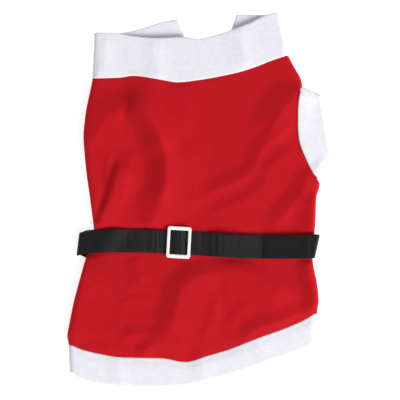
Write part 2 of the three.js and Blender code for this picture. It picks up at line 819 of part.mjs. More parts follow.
// Columns of a band all round the girth, each at its panel's own point on the seam
function bandColumns(profile, row, gap, edge, underEdge) {
  const seamPoint = (column) => ({ x: column.at(row).x, y: column.at(row).y + gap });
  const inset = BAND / 2 + FOLD_REACH;
  const left = edge.left + inset;
  const right = edge.right - inset;
  const place = (seam, x, angle, line) => bandColumn(profile, seam, { x, y: line(x) }, angle);
  const leftSeam = seamPoint(body.top[0]);
  const rightSeam = seamPoint(body.top.at(-1));
  const under = (column) => {
    const seam = seamPoint(column);
    const share = clamp((seam.x - leftSeam.x) / (rightSeam.x - leftSeam.x), 0, 1);
    return place(seam, mix(left, right, share), Math.PI, underEdge(share));
  };
  return {
    top: body.top.map((column, i) => {
      const x = mix(left, right, topShares[i]);
      return place(seamPoint(column), x, 0, edge.line);
    }),
    rightTurn: inner(ARC_STEPS).map((s) => place(rightSeam, right, Math.PI * s, edge.line)),
    chest: body.chest.map(under),
    wrap: body.wrap.slice(1).map(under),
    leftTurn: inner(ARC_STEPS).map((s) => place(leftSeam, left, -Math.PI * (1 - s), edge.line)),
  };
}

// Neck band: one strip from its left end under the coat, round the front, to its right end
function neckBand() {
  const edge = { left: NECK_EDGE[0].x, right: NECK_EDGE.at(-1).x, line: neckEdge };
  const underEdge = (share) => (share < 0.5 ? underNeckEdgeLeft : underNeckEdgeRight);
  const columns = bandColumns(BAND_PROFILE, -1, SEAM, edge, underEdge);
  const chest = columns.chest.map((column, i) => ({ column, share: CHEST_COLUMNS[i] }));
  const leftEnd = chest.filter(({ share }) => share <= SLIT.left).map(({ column }) => column);
  const rightEnd = chest.filter(({ share }) => share >= SLIT.right).map(({ column }) => column);
  const grid = [
    ...leftEnd.reverse(),
    ...columns.wrap,
    ...columns.leftTurn,
    ...columns.top,
    ...columns.rightTurn,
    ...rightEnd.reverse(),
  ];
  return clothWall(grid, (i, j) => BAND * BAND_PROFILE[j].wall);
}

// Hem band: a ring all round the hem
function hemBand() {
  const edge = { left: HEM_EDGE[0].x, right: HEM_EDGE.at(-1).x, line: hemEdge };
  const columns = bandColumns(BAND_PROFILE, 0, -SEAM, edge, () => underHemEdge);
  const { top, rightTurn, chest, wrap, leftTurn } = columns;
  const grid = [...top, ...rightTurn, ...chest.reverse(), ...wrap, ...leftTurn];
  const northwards = grid.map((column) => column.reverse());
  return clothWall(northwards, (i, j) => BAND * BAND_PROFILE.at(-1 - j).wall, true);
}

// Right cuff: a flattened tube from the leg hole out to the right
function rightCuff() {
  const { north, south } = RIGHT_CUFF;
  const inset = BAND / 2 + FOLD_REACH;
  const floor = BAND / 2;
  const outwards = (line, sign) => {
    const d = new THREE.Vector2(line.mouth.x - line.root.x, line.mouth.y - line.root.y).normalize();
    return { x: -d.y * sign, y: d.x * sign };
  };
  const northOut = outwards(north, 1);
  const southOut = outwards(south, -1);
  const moved = (p, out, by) => ({ x: p.x + out.x * by, y: p.y + out.y * by });
  const lineAt = (line, out) => (across) => moved(mixPoint(line.root, line.mouth, across), out, -inset);
  const northLine = lineAt(north, northOut);
  const southLine = lineAt(south, southOut);
  // across 0 is at the leg hole and 1 at the mouth
  const flatPoint = (t, across, rim) => {
    const y = mix(northLine(0).y, southLine(0).y, t);
    const ends = ease(t / 0.12) * ease((1 - t) / 0.12);
    const straight = mixPoint(northLine(0), southLine(0), t);
    const root = { x: mix(straight.x, rim(y), ends), y };
    const mouth = mixPoint(northLine(1), southLine(1), t);
    return mixPoint(root, mouth, across);
  };
  // the tube is as high as the coat at the leg hole, and falls to its own height at the mouth
  const high = (root, across) =>
    mix(topHeight(root.x, root.y) + BAND_RISE, floor + CUFF_GAP, ease(across));
  const puff = (t) => 1.2 * Math.sin(Math.PI * t);
  const grid = [];
  const runSteps = 11;
  const top = (t) =>
    BAND_PROFILE.map(({ across }) => {
      const rim = (y) => legRim(y) + SEAM;
      const p = flatPoint(t, across, rim);
      return new THREE.Vector3(p.x, p.y, high(flatPoint(t, 0, rim), across) + puff(t));
    });
  const bottom = (t) =>
    BAND_PROFILE.map(({ across }) => {
      const p = flatPoint(t, across, (y) => lowerRim(y) + 3 * SEAM);
      return new THREE.Vector3(p.x, p.y, floor);
    });
  const turn = (line, out, angle) =>
    BAND_PROFILE.map(({ across }) => {
      const p = line(across);
      const half = (high(line(0), across) - floor) / 2;
      const side = FOLD_REACH * Math.sin(angle);
      const z = floor + half * (1 + Math.cos(angle));
      return new THREE.Vector3(p.x + out.x * side, p.y + out.y * side, z);
    });
  for (const t of shares(runSteps)) grid.push(top(t));
  for (const s of inner(ARC_STEPS)) grid.push(turn(southLine, southOut, Math.PI * s));
  for (const t of shares(runSteps).reverse()) grid.push(bottom(t));
  for (const s of inner(ARC_STEPS)) grid.push(turn(northLine, northOut, Math.PI * (1 - s)));
  return clothWall(grid, (i, j) => BAND * BAND_PROFILE[j].wall, true);
}

// Left cuff: pressed flat on the floor under the coat, its mouth towards the left side
function leftCuff() {
  const { rootSouth, rootNorth, mouthSouth, mouthNorth, upperMouth, lowerMouth, press } = LEFT_CUFF;
  const profile = [...BAND_PROFILE].reverse();
  const floor = BAND / 2;
  const upperRoot = (y) => wrapEdge(y) + SEAM;
  const lowerRoot = (y) => chestLeft(y) - 2.5 * SEAM;
  // t runs from the north fold to the south fold, across from the mouth (1) to the leg hole (0)
  const flatPoint = (t, across, lower) => {
    const rootY = mix(rootNorth, rootSouth, t);
    const root = { x: mix(upperRoot(rootY), lowerRoot(rootY), lower), y: rootY };
    const mouth = { x: mix(upperMouth, lowerMouth, lower), y: mix(mouthNorth, mouthSouth, t) };
    return mixPoint(root, mouth, across);
  };
  const ring = [
    ...shares(10).map((t) => ({ t, lower: 0 })),
    ...inner(4).map((s) => ({ t: 1, lower: s })),
    ...shares(10).reverse().map((t) => ({ t, lower: 1 })),
    ...inner(4).map((s) => ({ t: 0, lower: 1 - s })),
  ];
  const grid = ring.map(({ t, lower }) =>
    profile.map(({ across }) => {
      const p = flatPoint(t, across, lower);
      const out = (press / 2) * Math.sin(Math.PI * lower) * (t > 0.5 ? -1 : 1);
      return new THREE.Vector3(p.x, p.y + out, floor + (press / 2) * (1 + Math.cos(Math.PI * lower)));
    }),
  );
  return clothWall(grid, (i, j) => BAND * profile[j].wall, true);
}

// Middle of the belt where it lies on the coat, lifted over the buckle's hidden middle bar
const beltSeat = (x, y) => {
  const held = clamp(x, leftSide(y) + FLEECE / 2 + FOLD_REACH, rightFold(y) - FLEECE / 2 - FOLD_REACH);
  return topHeight(held, y) + FLEECE / 2 + BELT.clear + BELT.wall / 2;
};
const buckleFloor =
  Math.max(
    ...shares(4).map((s) => {
      const x = BUCKLE.x + BUCKLE.width * (s - 0.5);
      return beltSeat(x, beltTop(x));
    }),
  ) +
  BELT.wall / 2 +
  BELT.clear;
const overBar = buckleFloor + BUCKLE.barThick + BELT.clear + BELT.wall / 2;
function beltHeight(x, y) {
  const from = Math.abs(x - BUCKLE.x);
  const flat = BUCKLE.bar / 2 + 1;
  const seated = BUCKLE.width / 2 - BUCKLE.side - 1;
  return mix(overBar, beltSeat(x, y), ease((from - flat) / (seated - flat)));
}

// The waves run straight across at the buckle and slant towards the belt's left end
const beltWave = curve(BELT_WAVES, "x", "rise");
function waveHeight(x, offset) {
  const slant = WAVE_LEAN * ease((-40 - x) / 40);
  return beltWave(x - (slant * 2 * offset) / BELT.width);
}

// A belt line's point at a distance to its side
function besideLine(line, x, offset) {
  const a = Math.atan((line(x + 1) - line(x - 1)) / 2);
  return { x: x - Math.sin(a) * offset, y: line(x) + Math.cos(a) * offset };
}

// Belt: a loose loop of woven tape round the coat
function beltLoop() {
  const lift = BELT.wall / 2;
  const offsets = [-BELT.width / 2, 0, BELT.width / 2];
  const edgeX = {
    left: (offset) => BELT_END.left.x + lift + (BELT_END.left.lean * offset) / BELT.width,
    right: (offset) => BELT_END.right.x - lift + (BELT_END.right.lean * offset) / BELT.width,
  };
  const west = (offset) => edgeX.left(offset) + BELT.reach.left;
  const east = (offset) => edgeX.right(offset) - BELT.reach.right;
  const buckleSteps = [-21, -14, -10.6, -8.4, -6.6, -4.6, -2.4, 0, 2.4, 4.6, 6.6, 8.4, 10.6, 14, 21];
  const topX = (offset) => [
    ...shares(10).slice(1, -1).map((s) => mix(west(offset), BUCKLE.x + buckleSteps[0], s)),
    ...buckleSteps.map((dx) => BUCKLE.x + dx),
    ...shares(14).slice(1, -1).map((s) => mix(BUCKLE.x + buckleSteps.at(-1), east(offset), s)),
  ];
  const top = offsets.map((offset) =>
    topX(offset).map((x) => {
      const y = besideLine(beltTop, x, offset).y;
      return new THREE.Vector3(x, y, beltHeight(x, y) + waveHeight(x, offset));
    }),
  );
  // from the top at turn 0 round a side to the floor at turn 1
  const turned = (side, sign, turn) =>
    offsets.map((offset) => {
      const reach = BELT.reach[side];
      const centre = edgeX[side](offset) - sign * reach;
      const x = centre + sign * reach * Math.sin(Math.PI * turn);
      const y = mix(besideLine(beltTop, x, offset).y, besideLine(beltUnder, x, offset).y, turn);
      const seat = beltSeat(centre, y) + waveHeight(centre, offset);
      return foldPoint(centre, lift, seat, y, reach, sign * Math.PI * turn);
    });
  const under = (s) =>
    offsets.map((offset) => {
      const x = mix(east(offset), west(offset), s);
      return new THREE.Vector3(x, besideLine(beltUnder, x, offset).y, lift);
    });
  const grid = [
    ...top[0].map((_, i) => top.map((line) => line[i])),
    ...shares(ARC_STEPS).map((s) => turned("right", 1, s)),
    ...inner(14).map(under),
    ...shares(ARC_STEPS).map((s) => turned("left", -1, 1 - s)),
  ];
  return clothWall(grid, () => BELT.wall, true);
}

// A rectangle with round corners, drawn as an outline or as a hole
function roundedRectangle(path, width, height, corner) {
  const w = width / 2;
  const h = height / 2;
  const quarter = Math.PI / 2;
  const corners = [[w, h], [-w, h], [-w, -h], [w, -h]];
  corners.forEach(([x, y], i) => {
    const centre = { x: x - Math.sign(x) * corner, y: y - Math.sign(y) * corner };
    path.absarc(centre.x, centre.y, corner, i * quarter, (i + 1) * quarter, false);
  });
  path.closePath();
  return path;
}

// Buckle: a moulded frame with a thinner middle bar that the belt hides
function buckle() {
  const b = BUCKLE;
  const frame = roundedRectangle(new THREE.Shape(), b.width, b.height, b.corner);
  const hole = { width: b.width - 2 * b.side, height: b.height - 2 * b.rail };
  frame.holes.push(roundedRectangle(new THREE.Path(), hole.width, hole.height, b.innerCorner));
  const soften = 0.5;
  const rim = new THREE.ExtrudeGeometry(frame, {
    depth: b.thick - 2 * soften,
    bevelThickness: soften,
    bevelSize: soften,
    bevelOffset: -soften,
    bevelSegments: 1,
    curveSegments: 4,
  }).translate(0, 0, soften);
  const bar = new THREE.BoxGeometry(b.bar, b.height - b.rail, b.barThick).translate(0, 0, b.barThick / 2);
  const solid = asSolid(rim).add(asSolid(bar));
  return fromSolid(solid);
}

function asSolid(geometry) {
  const bare = geometry.clone();
  bare.deleteAttribute("normal");
  bare.deleteAttribute("uv");
  const merged = mergeVertices(bare, 1e-4);
  return new wasm.Manifold(
    new wasm.Mesh({
      numProp: 3,
      vertProperties: merged.attributes.position.array,
      triVerts: new Uint32Array(merged.index.array),
    }),
  );
}

function fromSolid(solid) {
  const mesh = solid.getMesh();
  const geometry = new THREE.BufferGeometry();
  geometry.setAttribute("position", new THREE.BufferAttribute(new Float32Array(mesh.vertProperties), 3));
  geometry.setIndex(new THREE.BufferAttribute(new Uint32Array(mesh.triVerts), 1));
  return geometry;
}

const RED_FLEECE = { color: 0xc01c24, roughness: 0.95, metalness: 0 };
const WHITE_FLEECE = { color: 0xf1f0f7, roughness: 0.95, metalness: 0 };
const BLACK_TAPE = { color: 0x29272a, roughness: 0.6, metalness: 0 };
const WHITE_PLASTIC = { color: 0xfbfaf5, roughness: 0.35, metalness: 0 };

const coat = new THREE.Group();
function addPiece(name, geometry, look) {
  const piece = new THREE.Mesh(geometry, new THREE.MeshStandardMaterial(look));
  piece.name = name;
  geometry.computeVertexNormals();
  coat.add(piece);
  return piece;
}

addPiece("back_panel", backPanel(), RED_FLEECE);
addPiece("chest_panel", chestPanel(), RED_FLEECE);
addPiece("neck_band", neckBand(), WHITE_FLEECE);
addPiece("hem_band", hemBand(), WHITE_FLEECE);
addPiece("cuff_right", rightCuff(), WHITE_FLEECE);
addPiece("cuff_left", leftCuff(), WHITE_FLEECE);
addPiece("belt", beltLoop(), BLACK_TAPE);

const slopeAtBuckle = Math.atan((beltTop(BUCKLE.x + 8) - beltTop(BUCKLE.x - 8)) / 16);
const frame = addPiece("buckle", buckle(), WHITE_PLASTIC);
frame.position.set(BUCKLE.x, beltTop(BUCKLE.x), buckleFloor);
frame.rotation.z = slopeAtBuckle;

export default coat;
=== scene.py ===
import bmesh
import bpy
import numpy as np
from mathutils import Matrix, Vector


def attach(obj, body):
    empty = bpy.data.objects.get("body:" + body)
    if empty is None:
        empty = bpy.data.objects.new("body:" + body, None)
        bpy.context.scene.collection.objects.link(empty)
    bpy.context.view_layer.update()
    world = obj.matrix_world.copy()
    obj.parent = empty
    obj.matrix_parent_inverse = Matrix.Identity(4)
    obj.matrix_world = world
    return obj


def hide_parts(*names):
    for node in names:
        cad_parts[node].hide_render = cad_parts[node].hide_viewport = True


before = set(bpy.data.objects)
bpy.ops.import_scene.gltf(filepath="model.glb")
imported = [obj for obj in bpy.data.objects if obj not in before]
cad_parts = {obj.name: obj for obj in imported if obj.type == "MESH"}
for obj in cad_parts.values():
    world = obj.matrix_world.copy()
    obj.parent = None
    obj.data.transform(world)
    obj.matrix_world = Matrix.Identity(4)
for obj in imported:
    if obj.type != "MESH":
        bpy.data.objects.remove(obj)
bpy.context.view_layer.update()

# Back panel: one cut of red polyester fleece with a short brushed nap, 2 mm thick. It covers the
# whole top side, turns under both sides of the coat and is sewn to the chest panel underneath.
# The coat was put down loosely, so it lies in soft folds, and it is lifted by a cuff under it.

# Lengths are in millimetres up to the studio, and MM turns them into metres
MM = 0.001
FLEECE = 2.0
# Gap between two pieces at a seam: their edges are sewn a little over one another
SEAM = -0.8
CUT_LENGTH = 290.0
# How far the turn at a side stands out, how far apart the layers' middles are there, and how
# far the cloth runs on underneath at the right
FOLD_REACH = 3.0
EDGE_GAP = 7.2
TURNED_UNDER = 1.2
# How far in from a side the coat is full, and the folds stand at their height
LOFT_RUN = 5.0
EDGE_RUN = {"left": 4.0, "right": 3.0}
HEM_DIP = {"depth": 1.2, "run": 6.0}
CHEST_HEM_RISE = 14.0
# The tucked cuff: how far it lifts the top and the bottom layer, and over which stretch
TUCK = {
    "south": -6.0,
    "north": 90.0,
    "fade": 22.0,
    "top_lift": 3.0,
    "top_fade": 32.0,
    "top_edge": -94.0,
    "top_run": 32.0,
    "bottom_lift": 6.7,
    "bottom_edge": 2.5,
    "bottom_run": 10.0,
}
BELT = {"width": 24.6, "wall": 1.2, "reach": {"left": 5.2, "right": 2.4}, "clear": 0.3}
# Half the width of the strip that the belt presses flat on top or lifts underneath, and the run
# beside it
PRESSED_TOP = {"half": 12.8, "run": 6.0}
LIFTED_BOTTOM = {"half": 17.0, "run": 13.0}
# At the leg hole the cloth only rolls over, by this reach and angle; they fade at its ends
LEG_ROLL = {"reach": 1.2, "angle": 1.1, "fade": 5.0}


def table(names, *rows):
    """A table with named columns, one array for each."""
    return dict(zip(names.split(), np.array(rows, float).T))


def ease(t):
    t = np.clip(t, 0, 1)
    return t * t * (3 - 2 * t)


def fade_ends(t, share):
    """1 along the middle of a run from 0 to 1, down to 0 over this share of it at each end."""
    return ease(t / share) * ease((1 - t) / share)


def mix(a, b, t):
    return a + (b - a) * t


def curve(rows, source, result):
    """A smooth function through a table's rows that never overshoots them."""
    order = np.argsort(rows[source])
    x, y = rows[source][order], rows[result][order]
    slope = np.diff(y) / np.diff(x)
    product, total = slope[:-1] * slope[1:], slope[:-1] + slope[1:]
    level = product <= 0
    inner = np.where(level, 0, 2 * product / np.where(level, 1, total))
    tangent = np.concatenate([slope[:1], inner, slope[-1:]])

    def at(v):
        v = np.clip(v, x[0], x[-1])
        i = np.clip(np.searchsorted(x, v, side="right") - 1, 0, len(x) - 2)
        h = x[i + 1] - x[i]
        t = (v - x[i]) / h
        s = 1 - t
        start = y[i] * s * s * (1 + 2 * t) + h * tangent[i] * t * s * s
        end = y[i + 1] * t * t * (1 + 2 * s) - h * tangent[i + 1] * t * t * s
        return start + end

    return at


# The two sides; at the right it is the folded side, without the leg hole
SIDES = table(
    "y left right",
    (152.0, -110.3, 91.0),
    (139.4, -110.6, 97.6),
    (124.8, -112.3, 105.4),
    (104.0, -116.5, 108.7),
    (87.4, -119.3, 111.8),
    (65.5, -121.2, 115.9),
    (51.0, -120.3, 118.6),
    (29.1, -118.2, 122.5),
    (16.6, -116.5, 124.7),
    (2.1, -114.4, 121.2),
    (-21.8, -111.5, 120.2),
    (-31.2, -110.6, 119.4),
    (-52.0, -116.0, 117.0),
    (-64.0, -120.0, 117.6),
    (-87.4, -126.6, 122.0),
    (-104.0, -131.0, 123.6),
    (-113.0, -133.0, 122.6),
    (-130.0, -136.3, 121.0),
    (-141.4, -138.2, 120.2),
    (-151.8, -136.7, 119.6),
    (-177.8, -135.8, 119.6),
)
# The leg hole's rim on the top side
LEG_RIM = table(
    "y x",
    (118.0, 106.4),
    (113.4, 104.8),
    (103.5, 103.0),
    (92.0, 102.1),
    (79.0, 102.1),
    (65.3, 103.0),
    (54.6, 105.6),
    (43.9, 110.2),
    (33.3, 115.1),
    (24.9, 120.0),
    (17.3, 124.7),
)
# Seams of the neck band and the hem band on the top side
NECK_SEAM = table(
    "x y",
    (-110.8, 126.6),
    (-84.2, 127.4),
    (-69.4, 129.3),
    (-43.9, 125.8),
    (-22.9, 122.6),
    (0.0, 125.2),
    (33.0, 131.4),
    (50.0, 136.0),
    (76.1, 145.8),
    (91.5, 150.9),
)
HEM_SEAM = table(
    "x y",
    (-136.3, -149.1),
    (-127.0, -154.2),
    (-103.8, -160.3),
    (-80.6, -163.8),
    (-40.7, -164.6),
    (-15.6, -168.5),
    (9.0, -161.8),
    (31.0, -155.2),
    (56.8, -144.9),
    (94.6, -130.9),
    (117.5, -119.0),
    (121.0, -114.0),
)
# The neck's seam underneath, on the left and the right of the slit
UNDER_NECK_LEFT = table("x y", (-110.8, 126.6), (-81.0, 130.6), (-7.8, 143.0))
UNDER_NECK_RIGHT = table("x y", (20.8, 148.7), (91.5, 150.9))
# Where the back panel ends under the left side, at its seam with the chest panel
WRAP_EDGE = table(
    "y x",
    (133.0, -81.0),
    (92.0, -84.0),
    (58.0, -91.0),
    (22.0, -86.0),
    (-8.0, -77.0),
    (-45.0, -72.0),
    (-100.0, -84.0),
    (-155.0, -100.0),
)
# How far the coat's middle stands above its sides
LOFT = table(
    "y rise",
    (200, 3.6),
    (128, 3.6),
    (90, 3.2),
    (0, 3.2),
    (-46, 2.4),
    (-90, 3.4),
    (-130, 3.4),
    (-160, 3.0),
    (-200, 2.4),
)
# The belt's middle line on top and underneath
BELT_TOP = table(
    "x y",
    (-127.0, -45.6),
    (-115.0, -43.4),
    (-88.0, -42.2),
    (-62.0, -42.3),
    (-35.0, -43.3),
    (-8.0, -44.8),
    (19.0, -46.7),
    (49.0, -48.4),
    (99.0, -48.6),
    (122.0, -48.2),
)
BELT_UNDER = table(
    "x y",
    (-127.0, -45.6),
    (-116.0, -49.6),
    (-90.0, -50.4),
    (0.0, -47.0),
    (90.0, -45.4),
    (122.0, -48.2),
)

# How high the folds that run under the belt hold it up; at the left it is drawn in tight
UNDER_BELT = table(
    "x rise",
    (-126.0, -4.4),
    (-114.0, -3.0),
    (-100.0, -0.5),
    (-90.0, 0.3),
    (-30.0, 1.0),
    (-8.0, 1.2),
    (10.0, 0.6),
    (30.0, 0.2),
    (60.0, 0.2),
    (96.0, 0.6),
    (122.0, 1.0),
)

# Each fold: its height, its width on the left and right hand of a walk along its crest, and
# the crest line. The left hand is the steep side.
FOLDS = (
    # pillow over the tucked cuff
    (2.7, 21, 30, ((-118, 46), (-110, 63), (-103, 77), (-95, 88), (-85, 93), (-75, 92))),
    # great fold above the belt
    (5.0, 44, 40, ((-67, -71), (-60, -50), (-52, -31), (-44, -10), (-37, 10), (-35, 29),
        (-36, 47), (-42, 66), (-51, 83), (-63, 98), (-76, 108), (-88, 114))),
    # sharp crease into the belt
    (4.0, 8, 40, ((-116, -52), (-107, -31), (-100, -14), (-93, 2), (-88, 17), (-83, 32),
        (-79, 44))),
    # left side above the belt
    (0.9, 5, 12, ((-108, -23), (-111, 0), (-113, 21), (-114, 42), (-113, 56))),
    # thin ridge by the crease
    (0.6, 3, 5, ((-99, 10), (-97, 25), (-95, 41), (-92, 50))),
    # soft rise right of the great fold
    (1.6, 20, 24, ((-12, -17), (-8, -2), (-6, 15), (-7, 33), (-10, 50), (-15, 64))),
    # long bent ridge to the leg hole
    (2.5, 15, 20, ((-11, -26), (0, -1), (12, 9), (30, 16), (47, 24), (57, 34), (62, 49), (71, 60),
        (83, 69), (93, 81), (98, 99))),
    # second ridge, below the bent one
    (2.4, 13, 50, ((-3, -36), (12, -16), (33, -6), (52, 3), (67, 16), (72, 31), (83, 43),
        (97, 50), (107, 54))),
    # fold above the belt at the right
    (3.4, 17, 36, ((72, -37), (82, -21), (93, -8), (102, 2), (108, 12), (113, 25), (114, 37))),
    # right side above the belt
    (5.8, 25, 6, ((120, -56), (120, -40), (121, -23), (122, -6), (123, 10))),
    # right shoulder
    (5.0, 30, 34, ((69, 56), (79, 83), (90, 98), (99, 110), (102, 125))),
    # soft rise below the neck band
    (1.2, 22, 30, ((-15, 64), (-15, 92), (-16, 110), (-17, 125))),
    # great fold below the belt
    (5.2, 22, 66, ((-33, -156), (-31, -139), (-27, -123), (-23, -108), (-19, -95), (-10, -84),
        (1, -79), (15, -76), (29, -76))),
    # ridge above the hem at the right
    (2.5, 13, 16, ((38, -155), (51, -139), (62, -132), (77, -128), (95, -121), (116, -110))),
    # low ridge in the lower right
    (0.7, 9, 12, ((25, -136), (35, -122), (45, -112), (56, -106))),
    # low ridge beside the great fold
    (1.0, 9, 14, ((3, -153), (8, -135), (14, -121), (20, -104), (25, -94))),
    # hump above the hem
    (2.6, 12, 20, ((-59, -168), (-57, -158), (-52, -152), (-40, -149), (-25, -151), (-10, -160))),
    # left side below the belt
    (3.2, 5, 84, ((-132, -156), (-132, -135), (-128, -112), (-124, -92), (-119, -73), (-114, -56))),
    # short fold below the belt
    (1.3, 13, 16, ((-62, -87), (-64, -73), (-69, -58))),
    # slight ridge at the lower left
    (0.7, 8, 10, ((-124, -107), (-116, -95), (-105, -90), (-92, -97))),
    # slight ridge left of the great fold
    (0.8, 7, 12, ((-87, -111), (-68, -105), (-46, -104))),
    # slight ridge below the belt
    (0.6, 8, 12, ((-81, -97), (-64, -87), (-50, -75))),
    # right side below the belt
    (4.0, 15, 4, ((121, -127), (120, -112), (119, -96), (115, -79), (112, -64), (107, -52))),
    # slight ridge by the hem
    (0.8, 10, 8, ((-125, -156), (-107, -156), (-89, -158))),
    # trough along the crease
    (-1.6, 6, 5, ((-109, -29), (-105, -14), (-99, 1), (-95, 14))),
    # swell below the belt
    (4.2, 15, 60, ((4, -76), (27, -72), (48, -75), (64, -84), (83, -96), (104, -105))),
    # great fold, fuller in its middle
    (4.8, 23, 50, ((-60, -27), (-48, -8), (-38, 10), (-35, 28), (-35, 46), (-40, 62), (-47, 78),
        (-59, 94), (-72, 104), (-83, 110))),
    # the crease's broader top
    (2.5, 18, 18, ((-84, -6), (-80, 10), (-76, 27), (-72, 42), (-68, 52))),
    # upper edge of the hump
    (2.0, 10, 14, ((-85, -148), (-73, -141), (-57, -139), (-42, -140), (-26, -144))),
    # great fold, sharper at its top
    (2.8, 20, 24, ((-37, 48), (-40, 60), (-46, 73), (-55, 86), (-67, 98), (-79, 106))),
    # neck band, left
    (1.0, 12, 18, ((-100, 122), (-98, 176))),
    # neck band, middle
    (1.2, 16, 18, ((-41, 118), (-50, 172))),
    # neck band, right
    (1.4, 22, 18, ((49, 130), (40, 186))),
    # hem band, left
    (0.8, 14, 20, ((-82, -198), (-86, -156))),
    # hem band, middle
    (1.0, 14, 18, ((6, -194), (-1, -154))),
    # hem band, right
    (0.8, 12, 16, ((69, -174), (59, -136))),
)

left_side = curve(SIDES, "y", "left")
right_fold = curve(SIDES, "y", "right")
leg_rim = curve(LEG_RIM, "y", "x")
neck_seam = curve(NECK_SEAM, "x", "y")
hem_seam = curve(HEM_SEAM, "x", "y")
under_neck_left = curve(UNDER_NECK_LEFT, "x", "y")
under_neck_right = curve(UNDER_NECK_RIGHT, "x", "y")
wrap_edge = curve(WRAP_EDGE, "y", "x")
loft_at = curve(LOFT, "y", "rise")
belt_top = curve(BELT_TOP, "x", "y")
belt_under = curve(BELT_UNDER, "x", "y")
under_belt = curve(UNDER_BELT, "x", "rise")
LEG_NORTH, LEG_SOUTH = LEG_RIM["y"][0], LEG_RIM["y"][-1]


def in_leg_hole(y):
    """1 inside the right leg hole's length, 0 outside it."""
    fade = LEG_ROLL["fade"]
    return ease((LEG_NORTH - y) / fade) * ease((y - LEG_SOUTH) / fade)


def right_side(y):
    return np.where((y < LEG_NORTH) & (y > LEG_SOUTH), leg_rim(y), right_fold(y))


def smooth_line(points, steps=6):
    """Points along a smooth line through the given ones."""
    p = np.array(points, float)
    ends = np.vstack([2 * p[0] - p[1], p, 2 * p[-1] - p[-2]])
    t = np.linspace(0, 1, steps, endpoint=False)[:, None]
    spans = []
    for a, b, c, d in zip(ends, ends[1:], ends[2:], ends[3:]):
        bend = (2 * a - 5 * b + 4 * c - d) * t**2 + (3 * b - a - 3 * c + d) * t**3
        spans.append(0.5 * (2 * b + (c - a) * t + bend))
    return np.vstack([*spans, p[-1:]])


CREST_RADIUS = 1.6
# Share of each flank's width over which it levels out at its foot
STEEP_FOOT, GENTLE_FOOT = 0.35, 1.0
# Share of a crest's length over which it fades out at each end
CREST_FADE = 0.25


def flank(t, foot):
    """Height down a flank: 1 at its crest, straight down to its rounded foot."""
    t = np.clip(t, 0, 1)
    straight = 1 - t / (1 - foot / 2)
    rounded_foot = (1 - t) ** 2 / (foot * (2 - foot))
    return np.where(t < 1 - foot, straight, rounded_foot)


def fold_height(x, y, rise, left, right, crest):
    """A crest with a flank on each hand, that fades out at both ends."""
    line = smooth_line(crest)
    reach = max(left, right) + CREST_RADIUS
    low, high = line.min(0) - reach, line.max(0) + reach
    near = (x > low[0]) & (x < high[0]) & (y > low[1]) & (y < high[1])
    height = np.zeros(np.shape(x))
    px, py = x[near], y[near]
    best, along = np.full(px.shape, np.inf), np.zeros(px.shape)
    on_left = np.zeros(px.shape, bool)
    for i, (a, b) in enumerate(zip(line, line[1:])):
        ex, ey = b - a
        t = np.clip(((px - a[0]) * ex + (py - a[1]) * ey) / (ex * ex + ey * ey), 0, 1)
        dx, dy = px - a[0] - ex * t, py - a[1] - ey * t
        d = np.hypot(dx, dy)
        closer = d < best
        best = np.where(closer, d, best)
        on_left = np.where(closer, ex * dy - ey * dx > 0, on_left)
        along = np.where(closer, (i + t) / (len(line) - 1), along)
    run = np.hypot(best, CREST_RADIUS) - CREST_RADIUS
    sides = np.where(on_left, flank(run / left, STEEP_FOOT), flank(run / right, GENTLE_FOOT))
    height[near] = rise * fade_ends(along, CREST_FADE) * sides
    return height


def tuck_length(y, fade=TUCK["fade"]):
    """The stretch of the left side that the tucked cuff lifts, fading out at both ends."""
    north = ease((TUCK["north"] + fade - y) / fade)
    return north * ease((y - TUCK["south"] + TUCK["fade"]) / TUCK["fade"])


def hem_dip(x, y):
    """The hem seam draws the cloth on both sides of it down."""
    return HEM_DIP["depth"] * np.exp(-(((y - hem_seam(x)) / HEM_DIP["run"]) ** 2))


def top_height(x, y):
    """Middle of the top layer above the floor."""
    x, y = np.broadcast_arrays(np.asarray(x, float), np.asarray(y, float))
    from_left, from_right = x - left_side(y), right_fold(y) - x
    pressed = ease((np.abs(y - belt_top(x)) - PRESSED_TOP["half"]) / PRESSED_TOP["run"])
    beyond_tuck = ease((x - TUCK["top_edge"]) / TUCK["top_run"])
    tuck = tuck_length(y, TUCK["top_fade"]) * (1 - beyond_tuck)
    folded = sum(fold_height(x, y, *fold) for fold in FOLDS)
    edges = ease(from_left / EDGE_RUN["left"]) * ease(from_right / EDGE_RUN["right"])
    raised = mix(under_belt(x), folded * edges, pressed) - hem_dip(x, y)
    filled = ease(from_left / LOFT_RUN) * ease(from_right / LOFT_RUN)
    return FLEECE / 2 + EDGE_GAP + loft_at(y) * filled + TUCK["top_lift"] * tuck + raised


def bottom_height(x, y):
    """Middle of the bottom layer: flat on the floor, but over the belt and the tucked cuff."""
    from_belt = (np.abs(y - belt_under(x)) - LIFTED_BOTTOM["half"]) / LIFTED_BOTTOM["run"]
    over_belt = (BELT["wall"] + BELT["clear"]) * (1 - ease(from_belt))
    from_cuff = (x - wrap_edge(y) - TUCK["bottom_edge"]) / TUCK["bottom_run"]
    over_cuff = TUCK["bottom_lift"] * tuck_length(y) * (1 - ease(from_cuff))
    return FLEECE / 2 + np.maximum(over_belt, over_cuff)


def right_roll(y):
    """Reach and angle of the turn at the right: half a turn, but at the leg hole only a roll."""
    hole = in_leg_hole(y)
    return mix(FOLD_REACH, LEG_ROLL["reach"], hole), mix(np.pi, LEG_ROLL["angle"], hole)


def left_fold_x(y):
    return left_side(y) + FLEECE / 2 + FOLD_REACH


def right_fold_x(y):
    return right_side(y) - FLEECE / 2 - right_roll(y)[0]


def across_body(share, y):
    return mix(left_fold_x(y), right_fold_x(y), share)


def on_seam(seam, x_at, rounds=12):
    """The y of a seam where the column whose x is x_at(y) meets it, closer with each round."""
    y = seam(0.0)
    for _ in range(rounds):
        y = seam(x_at(y))
    return y


